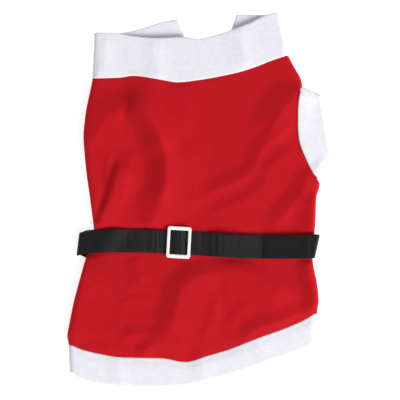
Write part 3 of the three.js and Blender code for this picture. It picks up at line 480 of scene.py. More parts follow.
def neck_row(share):
    return on_seam(neck_seam, lambda y: across_body(share, y)) - SEAM / 2


def hem_row(share):
    return on_seam(hem_seam, lambda y: across_body(share, y)) + SEAM / 2


def hem_bow(x, edge):
    """The underside's hem is cut shorter in its middle."""
    left, right = edge["x"][0], edge["x"][-1]
    return CHEST_HEM_RISE * np.sin(np.pi * np.clip((x - left) / (right - left), 0, 1))


def under_hem_seam(x):
    return hem_seam(x) + hem_bow(x, HEM_SEAM)


def stack(x, y, z):
    return np.stack(np.broadcast_arrays(x, y, z), axis=-1)


def fold_points(centre_x, low, high, y, reach, angle):
    """The turn at a side: angle 0 is the top layer and half a turn the bottom layer."""
    middle, half = (low + high) / 2, (high - low) / 2
    return stack(centre_x + reach * np.sin(angle), y, middle + half * np.cos(angle))


def row_shares(steps, width, wall, edge_steps=5):
    """Shares across a strip of cloth, close together where its edge is rounded."""
    soft = wall / 2 / width
    turn = soft * (1 - np.cos(np.linspace(0, np.pi / 2, edge_steps)))
    return np.concatenate([turn, np.linspace(soft, 1 - soft, steps)[1:-1], 1 - turn[::-1]])


def rounded(distance, radius):
    """How much of a wall's thickness is left this far in from its rounded edge."""
    return np.sqrt(1 - np.clip(1 - distance / radius, 0, 1) ** 2)


def add_piece(name, bm):
    """Puts a bmesh into the scene as an object."""
    mesh = bpy.data.meshes.new(name)
    bm.to_mesh(mesh)
    bm.free()
    mesh.shade_smooth()
    piece = bpy.data.objects.new(name, mesh)
    bpy.context.collection.objects.link(piece)
    return piece


def cloth(name, middle, shares, width, wall, ring=False, weld=0.002 * MM):
    """A closed wall of cloth round the grid middle[girth][share], rounded at its edges."""
    if ring:
        before = np.roll(middle[:-1], 1, axis=0)
        after = np.roll(middle[:-1], -1, axis=0)
        along = np.concatenate([after - before, (after - before)[:1]])
    else:
        along = np.gradient(middle, axis=0)
    out = np.cross(along, np.gradient(middle, axis=1))
    out /= np.linalg.norm(out, axis=-1, keepdims=True)
    steps = np.linalg.norm(np.diff(middle[:, middle.shape[1] // 2], axis=0), axis=-1)
    run = np.concatenate([[0], np.cumsum(steps)])
    half = wall / 2 * rounded(np.minimum(shares, 1 - shares) * width, wall / 2)[None, :]
    if not ring:
        half = half * rounded(np.minimum(run, run[-1] - run), wall / 2)[:, None]
    outside, inside = (middle + sign * half[..., None] * out for sign in (1, -1))
    points = np.concatenate([outside, inside[:, -2::-1]], axis=1) * MM
    unrolled = np.concatenate([shares, 2 - shares[-2::-1]]) * width * MM
    girth, section = points.shape[:2]

    bm = bmesh.new()
    bmesh.ops.create_grid(bm, x_segments=girth - 1, y_segments=section - 1, size=0.5)
    uv = bm.loops.layers.uv.new("cut")
    place = {}
    for vertex in bm.verts:
        i = round((vertex.co.x + 0.5) * (girth - 1))
        j = round((vertex.co.y + 0.5) * (section - 1))
        place[vertex] = (run[i] * MM, unrolled[j])
        vertex.co = points[i, j]
    for face in bm.faces:
        for loop in face.loops:
            loop[uv].uv = place[loop.vert]
    bmesh.ops.remove_doubles(bm, verts=bm.verts, dist=weld)
    bmesh.ops.recalc_face_normals(bm, faces=bm.faces)
    return add_piece(name, bm)


def linear(colour):
    """A colour given as sRGB hex, as the shader wants it."""
    parts = [int(colour[i : i + 2], 16) / 255 for i in (1, 3, 5)]
    return [c / 12.92 if c < 0.04045 else ((c + 0.055) / 1.055) ** 2.4 for c in parts] + [1]


def set_inputs(tree, node, inputs):
    """An input is given a value, or an output to link it to."""
    for name, value in inputs.items():
        if isinstance(value, bpy.types.NodeSocket):
            tree.links.new(value, node.inputs[name])
        else:
            node.inputs[name].default_value = value


def add_node(tree, kind, settings=None, inputs=None):
    """Adds a node with its settings and inputs."""
    made = tree.nodes.new("ShaderNode" + kind)
    for name, value in (settings or {}).items():
        setattr(made, name, value)
    set_inputs(tree, made, inputs or {})
    return made


def new_material(name):
    """A material with its node tree and its shader."""
    material = bpy.data.materials.new(name)
    material.use_nodes = True
    tree = material.node_tree
    return material, tree, tree.nodes["Principled BSDF"]


def noise(tree, size_mm, detail, roughness=0.5):
    """Uneven patches of about this size, fixed to the piece."""
    where = add_node(tree, "TexCoord").outputs["Object"]
    inputs = {
        "Vector": where,
        "Scale": 1 / (size_mm * MM),
        "Detail": detail,
        "Roughness": roughness,
    }
    return add_node(tree, "TexNoise", inputs=inputs).outputs["Fac"]


def add_up(tree, first, second):
    return add_node(tree, "Math", {"operation": "ADD"}, {0: first, 1: second}).outputs[0]


def blend(tree, share, first, second):
    """A colour that goes from the first to the second as the share goes from 0 to 1."""
    inputs = {0: share, 6: linear(first), 7: linear(second)}
    return add_node(tree, "Mix", {"data_type": "RGBA"}, inputs).outputs[2]


def bumps(tree, height, depth_mm, strength):
    inputs = {"Height": height, "Distance": depth_mm * MM, "Strength": strength}
    return add_node(tree, "Bump", inputs=inputs).outputs["Normal"]


def fleece(name, colour, shade, nap_mm, nap_depth_mm, tuft_mm, sheen):
    """Polyester fleece: matt, with a brushed nap that catches light at a low angle."""
    material, tree, shader = new_material(name)
    nap = noise(tree, nap_mm, detail=3, roughness=0.6)
    tufts = noise(tree, tuft_mm, detail=4, roughness=0.55)
    patches = add_node(tree, "MapRange", inputs={"Value": tufts, "From Min": 0.3, "From Max": 0.7})
    look = {
        "Base Color": blend(tree, patches.outputs["Result"], shade, colour),
        "Normal": bumps(tree, add_up(tree, nap, tufts), nap_depth_mm, 1.0),
        "Roughness": 0.8,
        "Specular IOR Level": 0.12,
        "Sheen Weight": sheen,
        "Sheen Roughness": 0.45,
    }
    set_inputs(tree, shader, look)
    return material


# Short-napped velour fleece: flat and soft, a little lighter where the light grazes it
red_fleece = fleece("red_velour_fleece", "#c3121d", "#bf101b", 0.7, 0.1, 4.0, 0.05)

TOP_STEPS, WRAP_STEPS, BODY_ROWS = 150, 18, 190
# Places round a side's turn, from 0 to 1, with and without its ends
TURN = np.linspace(0, 1, 14)
INNER_TURN = TURN[1:-1]
SEAM_DIP = {"depth": 0.4, "run": 2.2}
# From here on to the seam the rows slant under the left side
SLANT = {"north": 95.0, "south": -100.0}
body_shares = row_shares(BODY_ROWS, CUT_LENGTH, FLEECE)


def seam_dip(distance):
    """Beside a seam the cloth is drawn down."""
    return SEAM_DIP["depth"] * np.exp(-((distance / SEAM_DIP["run"]) ** 2))


def wrap_points(share, y):
    """Under the left side the rows slant to meet the chest panel's seams."""
    level = mix(wrap_edge(y), left_fold_x(y), share)
    neck, hem = neck_row(0.0), hem_row(0.0)
    north = (y - SLANT["north"]) / (neck - SLANT["north"])
    south = (y - SLANT["south"]) / (hem - SLANT["south"])
    up = ease(north) * (under_neck_left(level) - SEAM / 2 - neck)
    down = ease(south) * (under_hem_seam(level) + SEAM / 2 - hem)
    slanted = y + (1 - share) * (up + down)
    x = mix(wrap_edge(slanted), left_fold_x(slanted), share)
    return stack(x, slanted, bottom_height(x, slanted))


def back_middle():
    """Middle of the back panel's cloth, girth by rows from the hem seam to the neck seam."""
    rows = body_shares[None, :]
    left_y = mix(hem_row(0.0), neck_row(0.0), rows)
    right_y = mix(hem_row(1.0), neck_row(1.0), rows)
    wrap = wrap_points(np.linspace(0, 1, WRAP_STEPS)[:, None], left_y)

    x = left_fold_x(left_y)
    low, high = bottom_height(x, left_y), top_height(x, left_y)
    angle = -np.pi * (1 - INNER_TURN[:, None])
    left_turn = fold_points(x, low, high, left_y, FOLD_REACH, angle)

    share = np.linspace(0, 1, TOP_STEPS)[:, None]
    hem, neck = hem_row(share), neck_row(share)
    y = mix(hem, neck, rows)
    x = across_body(share, y)
    top = stack(x, y, top_height(x, y) - seam_dip(y - hem) - seam_dip(neck - y))

    reach, turned = right_roll(right_y)
    x = right_fold_x(right_y)
    high = top_height(x, right_y)
    low = mix(bottom_height(x, right_y), high - 2 * reach, in_leg_hole(right_y))
    right_turn = fold_points(x, low, high, right_y, reach, turned * TURN[1:, None])
    onwards = right_turn[-1] - right_turn[-2]
    onwards /= np.linalg.norm(onwards, axis=-1, keepdims=True)
    length = mix(TURNED_UNDER, SEAM, in_leg_hole(right_y[0]))[:, None]
    flap = right_turn[-1] + onwards * length
    return np.concatenate([wrap, left_turn, top, right_turn, flap[None]])


back_panel = cloth("fleece_back_panel", back_middle(), body_shares, CUT_LENGTH, FLEECE)
back_panel.data.materials.append(red_fleece)
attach(back_panel, "root")
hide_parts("back_panel")

# Chest panel: the underside's cut of the same red fleece, lying flat on the floor. It joins the
# two side seams, is cut round both leg holes, and has a V slit at the neck. The belt and the
# tucked cuff lie under it.
UNDER_CUT = 9.0
CHEST_STEPS, CHEST_ROWS = 70, 110
LEFT_HOLE = {"south": -8.0, "north": 92.0, "width": 10.7}
# The slit's corners as shares across the panel, and the y of its foot
SLIT = {"left": 0.426, "foot": 0.491, "right": 0.599, "y": 107.0}
# One more column close to the left side, where its edge is rounded
EDGE_COLUMN = 0.007


def lower_rim(y):
    """The right leg hole's lower rim, cut deeper than the rim on the top side."""
    along = np.clip((y - LEG_SOUTH) / (LEG_NORTH - LEG_SOUTH), 0, 1)
    turned = FLEECE / 2 + FOLD_REACH + TURNED_UNDER + SEAM
    return right_side(y) - turned - UNDER_CUT * np.sin(np.pi * along)


def chest_left(y):
    along = (y - LEFT_HOLE["south"]) / (LEFT_HOLE["north"] - LEFT_HOLE["south"])
    return wrap_edge(y) + SEAM + LEFT_HOLE["width"] * np.sin(np.pi * np.clip(along, 0, 1))


def across_chest(share, y):
    return mix(chest_left(y), lower_rim(y), share)


def chest_neck_row(share):
    """The chest panel's neck line, with the V slit cut into it."""
    left = on_seam(under_neck_left, lambda y: across_chest(np.minimum(share, SLIT["left"]), y))
    right = on_seam(under_neck_right, lambda y: across_chest(np.maximum(share, SLIT["right"]), y))
    down = np.clip((share - SLIT["left"]) / (SLIT["foot"] - SLIT["left"]), 0, 1)
    up = np.clip((share - SLIT["foot"]) / (SLIT["right"] - SLIT["foot"]), 0, 1)
    slit = np.where(share < SLIT["foot"], mix(left, SLIT["y"], down), mix(SLIT["y"], right, up))
    return slit - SEAM / 2


def chest_middle():
    extra = [SLIT["left"], SLIT["foot"], SLIT["right"], EDGE_COLUMN]
    share = np.unique(np.concatenate([np.linspace(0, 1, CHEST_STEPS), extra]))[::-1, None]
    rows = chest_shares[None, :]
    hem = on_seam(under_hem_seam, lambda y: across_chest(share, y)) + SEAM / 2
    y = mix(hem, chest_neck_row(share), rows)
    x = across_chest(share, y)
    return stack(x, y, bottom_height(x, y))


chest_shares = row_shares(CHEST_ROWS, CUT_LENGTH, FLEECE)
chest_panel = cloth("fleece_chest_panel", chest_middle(), chest_shares, CUT_LENGTH, FLEECE)
chest_panel.data.materials.append(red_fleece)
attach(chest_panel, "root")
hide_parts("chest_panel")

# Neck band: a strip of thicker white fleece folded double, sewn round the neck with its fold as
# the free edge. It is open on the chest side, so its two ends show past the front's edge.
BAND = 2.8
BAND_RISE = (BAND - FLEECE) / 2
BAND_INSET = BAND / 2 + FOLD_REACH
NECK_WIDTH = 46.0
# The free edge on the top side, and underneath on both sides of the slit
NECK_EDGE = table(
    "x y",
    (-109.7, 174.1),
    (-88.4, 173.7),
    (-71.8, 170.6),
    (-46.1, 168.5),
    (-15.6, 169.3),
    (-2.6, 167.4),
    (13.5, 170.6),
    (46.4, 181.6),
    (79.0, 194.6),
    (82.7, 194.6),
)
UNDER_EDGE_LEFT = table(
    "x y",
    (-109.7, 174.1),
    (-88.4, 173.7),
    (-66.6, 177.2),
    (-33.3, 186.8),
    (-21.8, 188.3),
)
UNDER_EDGE_RIGHT = table("x y", (38.1, 192.7), (72.4, 193.3), (82.7, 194.6))
# Places of the two ends along the underside: at the seam and at the free edge
NECK_ENDS = {"left": (-7.8, -21.8), "right": (20.8, 38.1)}
# How far the free edge underneath springs up off the table
NECK_LIFT = 5.0
NECK_STEPS, NECK_UNDER_STEPS, NECK_ROWS = 120, {"left": 60, "right": 40}, 34

# White plush fleece: its nap is deeper than the red's, so its edges catch more light
white_fleece = fleece("white_plush_fleece", "#f4f3f9", "#eeedf4", 1.1, 0.25, 5.0, 0.25)


def band_top(seam, edge_rows, gap, steps):
    """A band's seam and free edge along the top side, from left to right, with angle 0."""
    edge = curve(edge_rows, "x", "y")
    left, right = edge_rows["x"][0] + BAND_INSET, edge_rows["x"][-1] - BAND_INSET
    share = np.linspace(0, 1, steps)
    seam_y = on_seam(seam, lambda y: across_body(share, y)) + gap
    edge_x = mix(left, right, share)
    return across_body(share, seam_y), seam_y, edge_x, edge(edge_x), np.zeros(steps)


def band_turn(top, end, angle):
    """Round a side the seam and the free edge stay where the top side's end has them."""
    return *(np.full(len(angle), v[end]) for v in top[:4]), angle


def band_middle(shares, girth, lift=0.0):
    """Middle of a band. The girth is the seam's x and y, the free edge's x and y, and the angle
    of the turn. Underneath, the free edge can be lifted off the table."""
    seam_x, seam_y, edge_x, edge_y, angle = (v[:, None] for v in girth)
    x, y = mix(seam_x, edge_x, shares[None, :]), mix(seam_y, edge_y, shares[None, :])
    low, high = bottom_height(x, y) + BAND_RISE, top_height(x, y) + BAND_RISE
    low = low + lift * ease(shares)
    return fold_points(x, low, high, y, FOLD_REACH, angle)


def neck_girth():
    """The neck band's girth, from its left end underneath round to its right end."""
    top = band_top(neck_seam, NECK_EDGE, SEAM / 2, NECK_STEPS)

    def under(side, first, seam_line, edge_rows):
        share = np.linspace(0, 1, NECK_UNDER_STEPS[side])
        seam_x = mix(top[0][first], NECK_ENDS[side][0], share)
        edge_x = mix(top[2][first], NECK_ENDS[side][1], share)
        edge_y = curve(edge_rows, "x", "y")(edge_x)
        return seam_x, seam_line(seam_x) + SEAM / 2, edge_x, edge_y, np.full(len(share), np.pi)

    left_end = under("left", 0, under_neck_left, UNDER_EDGE_LEFT)
    right_end = under("right", -1, under_neck_right, UNDER_EDGE_RIGHT)
    left_turn = band_turn(top, 0, -np.pi * (1 - INNER_TURN))
    right_turn = band_turn(top, -1, np.pi * INNER_TURN)
    runs = [[v[::-1] for v in left_end], left_turn, top, right_turn, right_end]
    return [np.concatenate(parts) for parts in zip(*runs)]


def dress_band(piece, node):
    piece.data.materials.append(white_fleece)
    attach(piece, "root")
    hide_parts(node)


neck_shares = row_shares(NECK_ROWS, NECK_WIDTH, BAND)
neck_middle = band_middle(neck_shares, neck_girth(), lift=NECK_LIFT)
neck_band = cloth("fleece_neck_band", neck_middle, neck_shares, NECK_WIDTH, BAND)
dress_band(neck_band, "neck_band")

# Hem band: the same doubled white fleece, one closed ring sewn round the hem with its fold
# hanging free.
HEM_WIDTH = 29.0
HEM_STEPS, HEM_UNDER_STEPS, HEM_ROWS = 150, 110, 24
HEM_EDGE = table(
    "x y",
    (-135.8, -175.8),
    (-124.3, -185.6),
    (-95.5, -191.9),
    (-52.7, -194.5),
    (-20.3, -192.8),
    (18.7, -184.7),
    (68.6, -168.0),
    (108.6, -153.6),
    (119.6, -144.9),
)


def hem_girth():
    """The hem band's girth, all the way round."""
    top = band_top(hem_seam, HEM_EDGE, -SEAM / 2, HEM_STEPS)
    right_turn = band_turn(top, -1, np.pi * INNER_TURN)
    left_turn = band_turn(top, 0, -np.pi * (1 - INNER_TURN))
    back = np.linspace(1, 0, HEM_UNDER_STEPS)
    seam_x, edge_x = (mix(v[0], v[-1], back) for v in (top[0], top[2]))
    edge_y = curve(HEM_EDGE, "x", "y")(edge_x) + hem_bow(edge_x, HEM_EDGE)
    under = seam_x, under_hem_seam(seam_x) - SEAM / 2, edge_x, edge_y, np.full(len(back), np.pi)
    runs = [top, right_turn, under, left_turn, [v[:1] for v in top]]
    return [np.concatenate(parts) for parts in zip(*runs)]


hem_shares = row_shares(HEM_ROWS, HEM_WIDTH, BAND)
hem_middle = band_middle(hem_shares, hem_girth())
hem_band = cloth("fleece_hem_band", hem_middle, hem_shares, HEM_WIDTH, BAND, ring=True)
dress_band(hem_band, "hem_band")

# Right cuff: a short tube of doubled white fleece round the right leg hole, pressed flat so that
# it sticks out beyond the coat's side.
CUFF_WIDTH = 26.0
CUFF_STEPS, CUFF_ROWS = 60, 22
# How far apart its layers' middles are at its mouth, how much its top bulges, and the share of
# its root at each end over which it leaves the leg hole's edge for the fold
CUFF_GAP = 10.0
CUFF_BULGE = 1.2
CUFF_CORNER = 0.05
# How far each cuff's lower layer is sewn over the chest panel's edge
UNDER_LAP = {"right": 2.4, "left": 2.0}
# The two folds of the flattened tube, each from the seam to the mouth
CUFF_NORTH = {"root": (105.2, 118.6), "mouth": (126.6, 109.8)}
CUFF_SOUTH = {"root": (126.0, 20.4), "mouth": (138.7, 44.4)}


def cuff_fold(line, turn):
    """A fold line of the flattened tube, set in by its wall, and the way out from it."""
    root, mouth = np.array(line["root"]), np.array(line["mouth"])
    run = (mouth - root) / np.linalg.norm(mouth - root)
    out = turn * np.array([-run[1], run[0]])
    return root - out * BAND_INSET, mouth - out * BAND_INSET, out


def right_cuff_middle(shares):
    north_root, north_mouth, north_out = cuff_fold(CUFF_NORTH, 1)
    south_root, south_mouth, south_out = cuff_fold(CUFF_SOUTH, -1)
    floor = BAND / 2
    s = shares[None, :]

    def high_at(root_x, root_y):
        return mix(top_height(root_x, root_y) + BAND_RISE, floor + CUFF_GAP, ease(s))

    def flat_points(t, rim):
        straight = mix(north_root[None, :], south_root[None, :], t)
        root_x = mix(straight[:, :1], rim(straight[:, 1:]), fade_ends(t, CUFF_CORNER))
        mouth = mix(north_mouth[None, :], south_mouth[None, :], t)
        return mix(root_x, mouth[:, :1], s), mix(straight[:, 1:], mouth[:, 1:], s)

    def turned(root, mouth, out, angle):
        x, y = (mix(root[k], mouth[k], s) for k in (0, 1))
        half = (high_at(root[0], root[1]) - floor) / 2
        side = FOLD_REACH * np.sin(angle)
        return stack(x + out[0] * side, y + out[1] * side, floor + half * (1 + np.cos(angle)))

    t = np.linspace(0, 1, CUFF_STEPS)[:, None]
    x, y = flat_points(t, lambda v: leg_rim(v) + SEAM)
    top = stack(x, y, high_at(x[:, :1], y[:, :1]) + CUFF_BULGE * np.sin(np.pi * t))
    x, y = flat_points(t[::-1], lambda v: lower_rim(v) - UNDER_LAP["right"])
    bottom = stack(x, y, floor)
    south = turned(south_root, south_mouth, south_out, np.pi * INNER_TURN[:, None])
    north = turned(north_root, north_mouth, north_out, np.pi * (1 - INNER_TURN[:, None]))
    return np.concatenate([top, south, bottom, north, top[:1]])


cuff_shares = row_shares(CUFF_ROWS, CUFF_WIDTH, BAND)
cuff_right = cloth(
    "fleece_cuff_right", right_cuff_middle(cuff_shares), cuff_shares, CUFF_WIDTH, BAND, ring=True
)
dress_band(cuff_right, "cuff_right")

# Left cuff: the same tube on the other leg hole, turned in under the coat and pressed flat on the
# floor, so it shows only as a swelling of the cloth above it.

# Its folds in the north and the south, the x of its mouth in each layer, and how far apart its
# pressed layers' middles are
LEFT_CUFF = {
    "root_south": -3.0,
    "root_north": 87.0,
    "mouth_south": 6.0,
    "mouth_north": 77.0,
    "upper_mouth": -113.0,
    "lower_mouth": -105.0,
    "press": 3.6,
}
LEFT_CUFF_STEPS, LEFT_CUFF_TURN_STEPS = 50, 12


def left_cuff_middle(shares):
    """The girth runs south along the upper layer, round the south fold and back underneath."""
    c, s = LEFT_CUFF, shares[None, :]
    flat = np.linspace(0, 1, LEFT_CUFF_STEPS)
    fold = np.linspace(0, 1, LEFT_CUFF_TURN_STEPS)[1:-1]
    upper_layer, lower_layer = np.zeros_like(flat), np.ones_like(flat)
    south_end, north_end = np.ones_like(fold), np.zeros_like(fold)
    t = np.concatenate([flat, south_end, flat[::-1], north_end, [0]])[:, None]
    lower = np.concatenate([upper_layer, fold, lower_layer, 1 - fold, [0]])[:, None]
    root_y = mix(c["root_north"], c["root_south"], t)
    root_x = mix(wrap_edge(root_y) + SEAM, chest_left(root_y) + UNDER_LAP["left"], lower)
    mouth_x = mix(c["upper_mouth"], c["lower_mouth"], lower)
    mouth_y = mix(c["mouth_north"], c["mouth_south"], t)
    out = c["press"] / 2 * np.sin(np.pi * lower) * np.where(t > 0.5, -1, 1)
    z = BAND / 2 + c["press"] / 2 * (1 + np.cos(np.pi * lower))
    return stack(mix(root_x, mouth_x, s), mix(root_y, mouth_y, s) + out, z)


cuff_left = cloth(
    "fleece_cuff_left", left_cuff_middle(cuff_shares), cuff_shares, CUFF_WIDTH, BAND, ring=True
)
dress_band(cuff_left, "cuff_left")

# Belt: a loop of close-woven black polyester tape, 25 mm wide, loose round the coat. It is
# threaded through the buckle over its middle bar and puckers on both sides of it.
BELT_STEPS = {"top": 400, "turn": 18, "under": 120, "rows": 20}
# Where it turns round the coat, and how far each turn leans over the belt's width
BELT_ENDS = {"left": -127.4, "left_lean": 2.9, "right": 122.2, "right_lean": 5.4}
# The buckle's place and size, as the belt has to clear it
BUCKLE = {
    "x": -22.0,
    "width": 24.9,
    "height": 33.0,
    "side": 3.2,
    "rail": 3.9,
    "thick": 2.4,
    "corner": 2.8,
    "inner_corner": 0.8,
    "bar": 3.0,
    "bar_thick": 1.4,
}
# Room on both sides of the buckle's bar and inside its frame where the belt bends
BEND_ROOM = 1.0


def belt_seat(x, y):
    """Middle of the belt where it lies on the coat."""
    held = np.clip(x, left_fold_x(y), right_fold(y) - FLEECE / 2 - FOLD_REACH)
    return top_height(held, y) + FLEECE / 2 + BELT["clear"] + BELT["wall"] / 2


seat_x = BUCKLE["x"] + BUCKLE["width"] * np.linspace(-0.5, 0.5, 5)
buckle_floor = belt_seat(seat_x, belt_top(seat_x)).max() + BELT["wall"] / 2 + BELT["clear"]
over_bar = buckle_floor + BUCKLE["bar_thick"] + BELT["clear"] + BELT["wall"] / 2


def belt_height(x, y):
    """The belt is seated on the coat, and rises over the buckle's middle bar."""
    away = np.abs(x - BUCKLE["x"])
    flat = BUCKLE["bar"] / 2 + BEND_ROOM
    seated = BUCKLE["width"] / 2 - BUCKLE["side"] - BEND_ROOM
    return mix(over_bar, belt_seat(x, y), ease((away - flat) / (seated - flat)))


# The loose belt waves a little along its length: how far it stands off the coat
BELT_WAVES = table(
    "x rise",
    (-127, -3.6),
    (-118, -1.8),
    (-110, 0.0),
    (-97, 2.0),
    (-76, 0.2),
    (-62, 0.8),
    (-48, 0.8),
    (-38, 0.0),
    (-8, -0.1),
    (-4, 0.5),
    (4, 0.9),
    (24, 4.2),
    (40, 3.4),
    (64, 1.6),
    (67, 2.5),
    (100, 3.8),
    (112, 4.4),
    (119, 4.5),
)

# Puckers across it: how high, how wide, how far they lean, and the part of the belt's width that
# each crosses, from -1 at its lower edge to 1 at its upper edge
PUCKERS = table(
    "x height width lean low high",
    (-76, -0.3, 1.3, 0.5, -1.4, 1.4),
    (-67, 0.3, 1.3, 3.0, 0.0, 1.0),
    (-63, 0.24, 1.2, -2.5, 0.1, 1.0),
    (-62, 0.24, 1.2, 1.0, -1.4, -0.3),
    (-55, -0.3, 1.2, 1.0, -1.4, 0.7),
    (-50, 0.36, 1.3, 0.5, -0.9, 1.2),
    (-45, 0.36, 1.1, -0.6, -1.4, 0.7),
    (-41, 0.3, 1.0, 0.3, -1.2, 0.9),
    (2, -0.36, 1.0, -1.0, -0.5, 1.4),
    (6, 0.24, 1.3, 1.0, -1.4, -0.2),
    (12, 0.6, 1.0, -0.6, -1.5, 0.8),
    (16, -0.42, 1.4, -0.4, -1.4, 1.4),
    (19, 0.3, 1.1, 0.6, -0.8, 1.2),
    (23, -0.24, 1.3, 0.3, -1.0, 1.0),
    (34, 0.15, 2.2, 1.0, -1.4, 1.4),
    (41, 0.3, 1.3, 2.0, -0.2, 0.8),
    (44, 0.24, 1.2, -2.0, -0.5, 0.4),
    (104, -0.12, 2.0, 0.4, -0.9, 1.0),
)
belt_wave = curve(BELT_WAVES, "x", "rise")
# The waves slant by this much to the left of their start
WAVE_SLANT = {"most": 8.0, "start": -40.0, "run": 40.0}
# Over this share of the belt's half width a pucker fades out at each end
PUCKER_FADE = 0.7
# Blender's wave bands turn by this many radians for each unit of their vector
WAVE_TURN = 20
# Where the belt's end laps over itself, and over how much the painted shade on that end comes in
# there
LAP = {"start": 65.0, "run": 1.5}


def pucker_height(x, offset):
    """Height of all puckers at x, this far from the belt's middle line."""
    across = offset / BELT["width"] * 2
    height = np.zeros(np.broadcast(x, offset).shape)
    for at, high, wide, lean, low, up in zip(*PUCKERS.values()):
        line = at + lean * across
        length = ease((across - low) / PUCKER_FADE) * ease((up - across) / PUCKER_FADE)
        height += high * length * np.exp(-(((x - line) / wide) ** 2))
    return height


def wave_height(x, offset):
    """The wave runs straight across at the buckle and slants towards the belt's left end."""
    slant = WAVE_SLANT["most"] * ease((WAVE_SLANT["start"] - x) / WAVE_SLANT["run"])
    return belt_wave(x - slant * offset / BELT["width"] * 2)


def belt_middle(shares):
    offset = (shares[None, :] - 0.5) * BELT["width"]
    lift = BELT["wall"] / 2

    def on_line(line, x):
        lean = np.arctan((line(x + 1) - line(x - 1)) / 2)
        return x - np.sin(lean) * offset, line(x) + np.cos(lean) * offset

    def turned(side, edge_x, turn):
        """Round a side, from the top at turn 0 to the floor at turn 1."""
        reach, hand = BELT["reach"][side], np.sign(edge_x.mean())
        centre, angle = edge_x - hand * reach, hand * np.pi * turn
        x = centre + reach * np.sin(angle)
        y = mix(on_line(belt_top, x)[1], on_line(belt_under, x)[1], turn)
        seat = belt_seat(centre, y) + wave_height(centre, offset)
        return fold_points(centre, lift, seat, y, reach, angle)

    left_x = BELT_ENDS["left"] + lift + BELT_ENDS["left_lean"] * offset / BELT["width"]
    right_x = BELT_ENDS["right"] - lift + BELT_ENDS["right_lean"] * offset / BELT["width"]
    west = left_x + BELT["reach"]["left"]
    east = right_x - BELT["reach"]["right"]
    top_x = mix(west, east, np.linspace(0, 1, BELT_STEPS["top"])[1:-1, None])
    y = on_line(belt_top, top_x)[1]
    loose = wave_height(top_x, offset) + pucker_height(top_x, offset)
    top = stack(top_x, y, belt_height(top_x, y) + loose)
    turn = np.linspace(0, 1, BELT_STEPS["turn"])[:, None]
    right_turn = turned("right", right_x, turn)
    left_turn = turned("left", left_x, 1 - turn)
    under_x = mix(east, west, np.linspace(0, 1, BELT_STEPS["under"])[1:-1, None])
    under = stack(under_x, on_line(belt_under, under_x)[1], lift)
    return np.concatenate([top, right_turn, under, left_turn, top[:1]])


def woven_tape(name, colour, lap_painted_shade, rib_mm, thread_mm):
    """Close-woven polyester tape: fine ribs across it, with a dull satin shine. Where its end laps
    over itself its colour is painted darker, as painted shade for the duller sheen of its weave
    lying the other way. Ribs and threads turn by one radian over the given lengths."""
    material, tree, shader = new_material(name)
    cut = add_node(tree, "UVMap", {"uv_map": "cut"}).outputs["UV"]

    def bands(direction, radian_mm):
        inputs = {"Vector": cut, "Scale": 1 / (radian_mm * MM * WAVE_TURN), "Distortion": 0.4}
        return add_node(tree, "TexWave", {"bands_direction": direction}, inputs).outputs["Fac"]

    weave = add_up(tree, bands("X", rib_mm), bands("Y", thread_mm))
    where = add_node(tree, "TexCoord").outputs["Object"]
    along = add_node(tree, "SeparateXYZ", inputs={0: where}).outputs["X"]
    start, end = LAP["start"] * MM, (LAP["start"] + LAP["run"]) * MM
    # The lapped end is painted darker: painted shade for its duller sheen
    lap_shade_mask = add_node(tree, "MapRange", inputs={"Value": along, "From Min": start, "From Max": end})
    look = {
        "Base Color": blend(tree, lap_shade_mask.outputs[0], colour, lap_painted_shade),
        "Normal": bumps(tree, weave, 0.05, 0.6),
        "Roughness": 0.58,
        "Specular IOR Level": 0.22,
    }
    set_inputs(tree, shader, look)
    return material


belt_shares = row_shares(BELT_STEPS["rows"], BELT["width"], BELT["wall"])
belt = cloth(
    "woven_belt", belt_middle(belt_shares), belt_shares, BELT["width"], BELT["wall"], ring=True
)
# The second, darker colour is painted shade on the lapped end
belt.data.materials.append(woven_tape("black_polyester_tape", "#1e1b1d", "#141213", 0.5, 0.35))
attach(belt, "root")
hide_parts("belt")

# Buckle: a frame moulded in glossy white plastic, with rounded edges and a thinner middle bar
# that the belt hides.
BUCKLE_ROUND = 0.7
# An edge of the frame is one where its faces turn by more than this, in radians
EDGE_ANGLE = 1.2
# The buckle leans as the belt does over this far on both sides of it
LEAN_RUN = 8.0


def rounded_outline(width, height, corner, steps=8):
    """The corners' arcs of a rounded rectangle, in order."""
    points = []
    for k, (sx, sy) in enumerate(((1, 1), (-1, 1), (-1, -1), (1, -1))):
        for a in np.linspace(k, k + 1, steps) * np.pi / 2:
            x = sx * (width / 2 - corner) + corner * np.cos(a)
            y = sy * (height / 2 - corner) + corner * np.sin(a)
            points.append((x, y, 0.0))
    return points


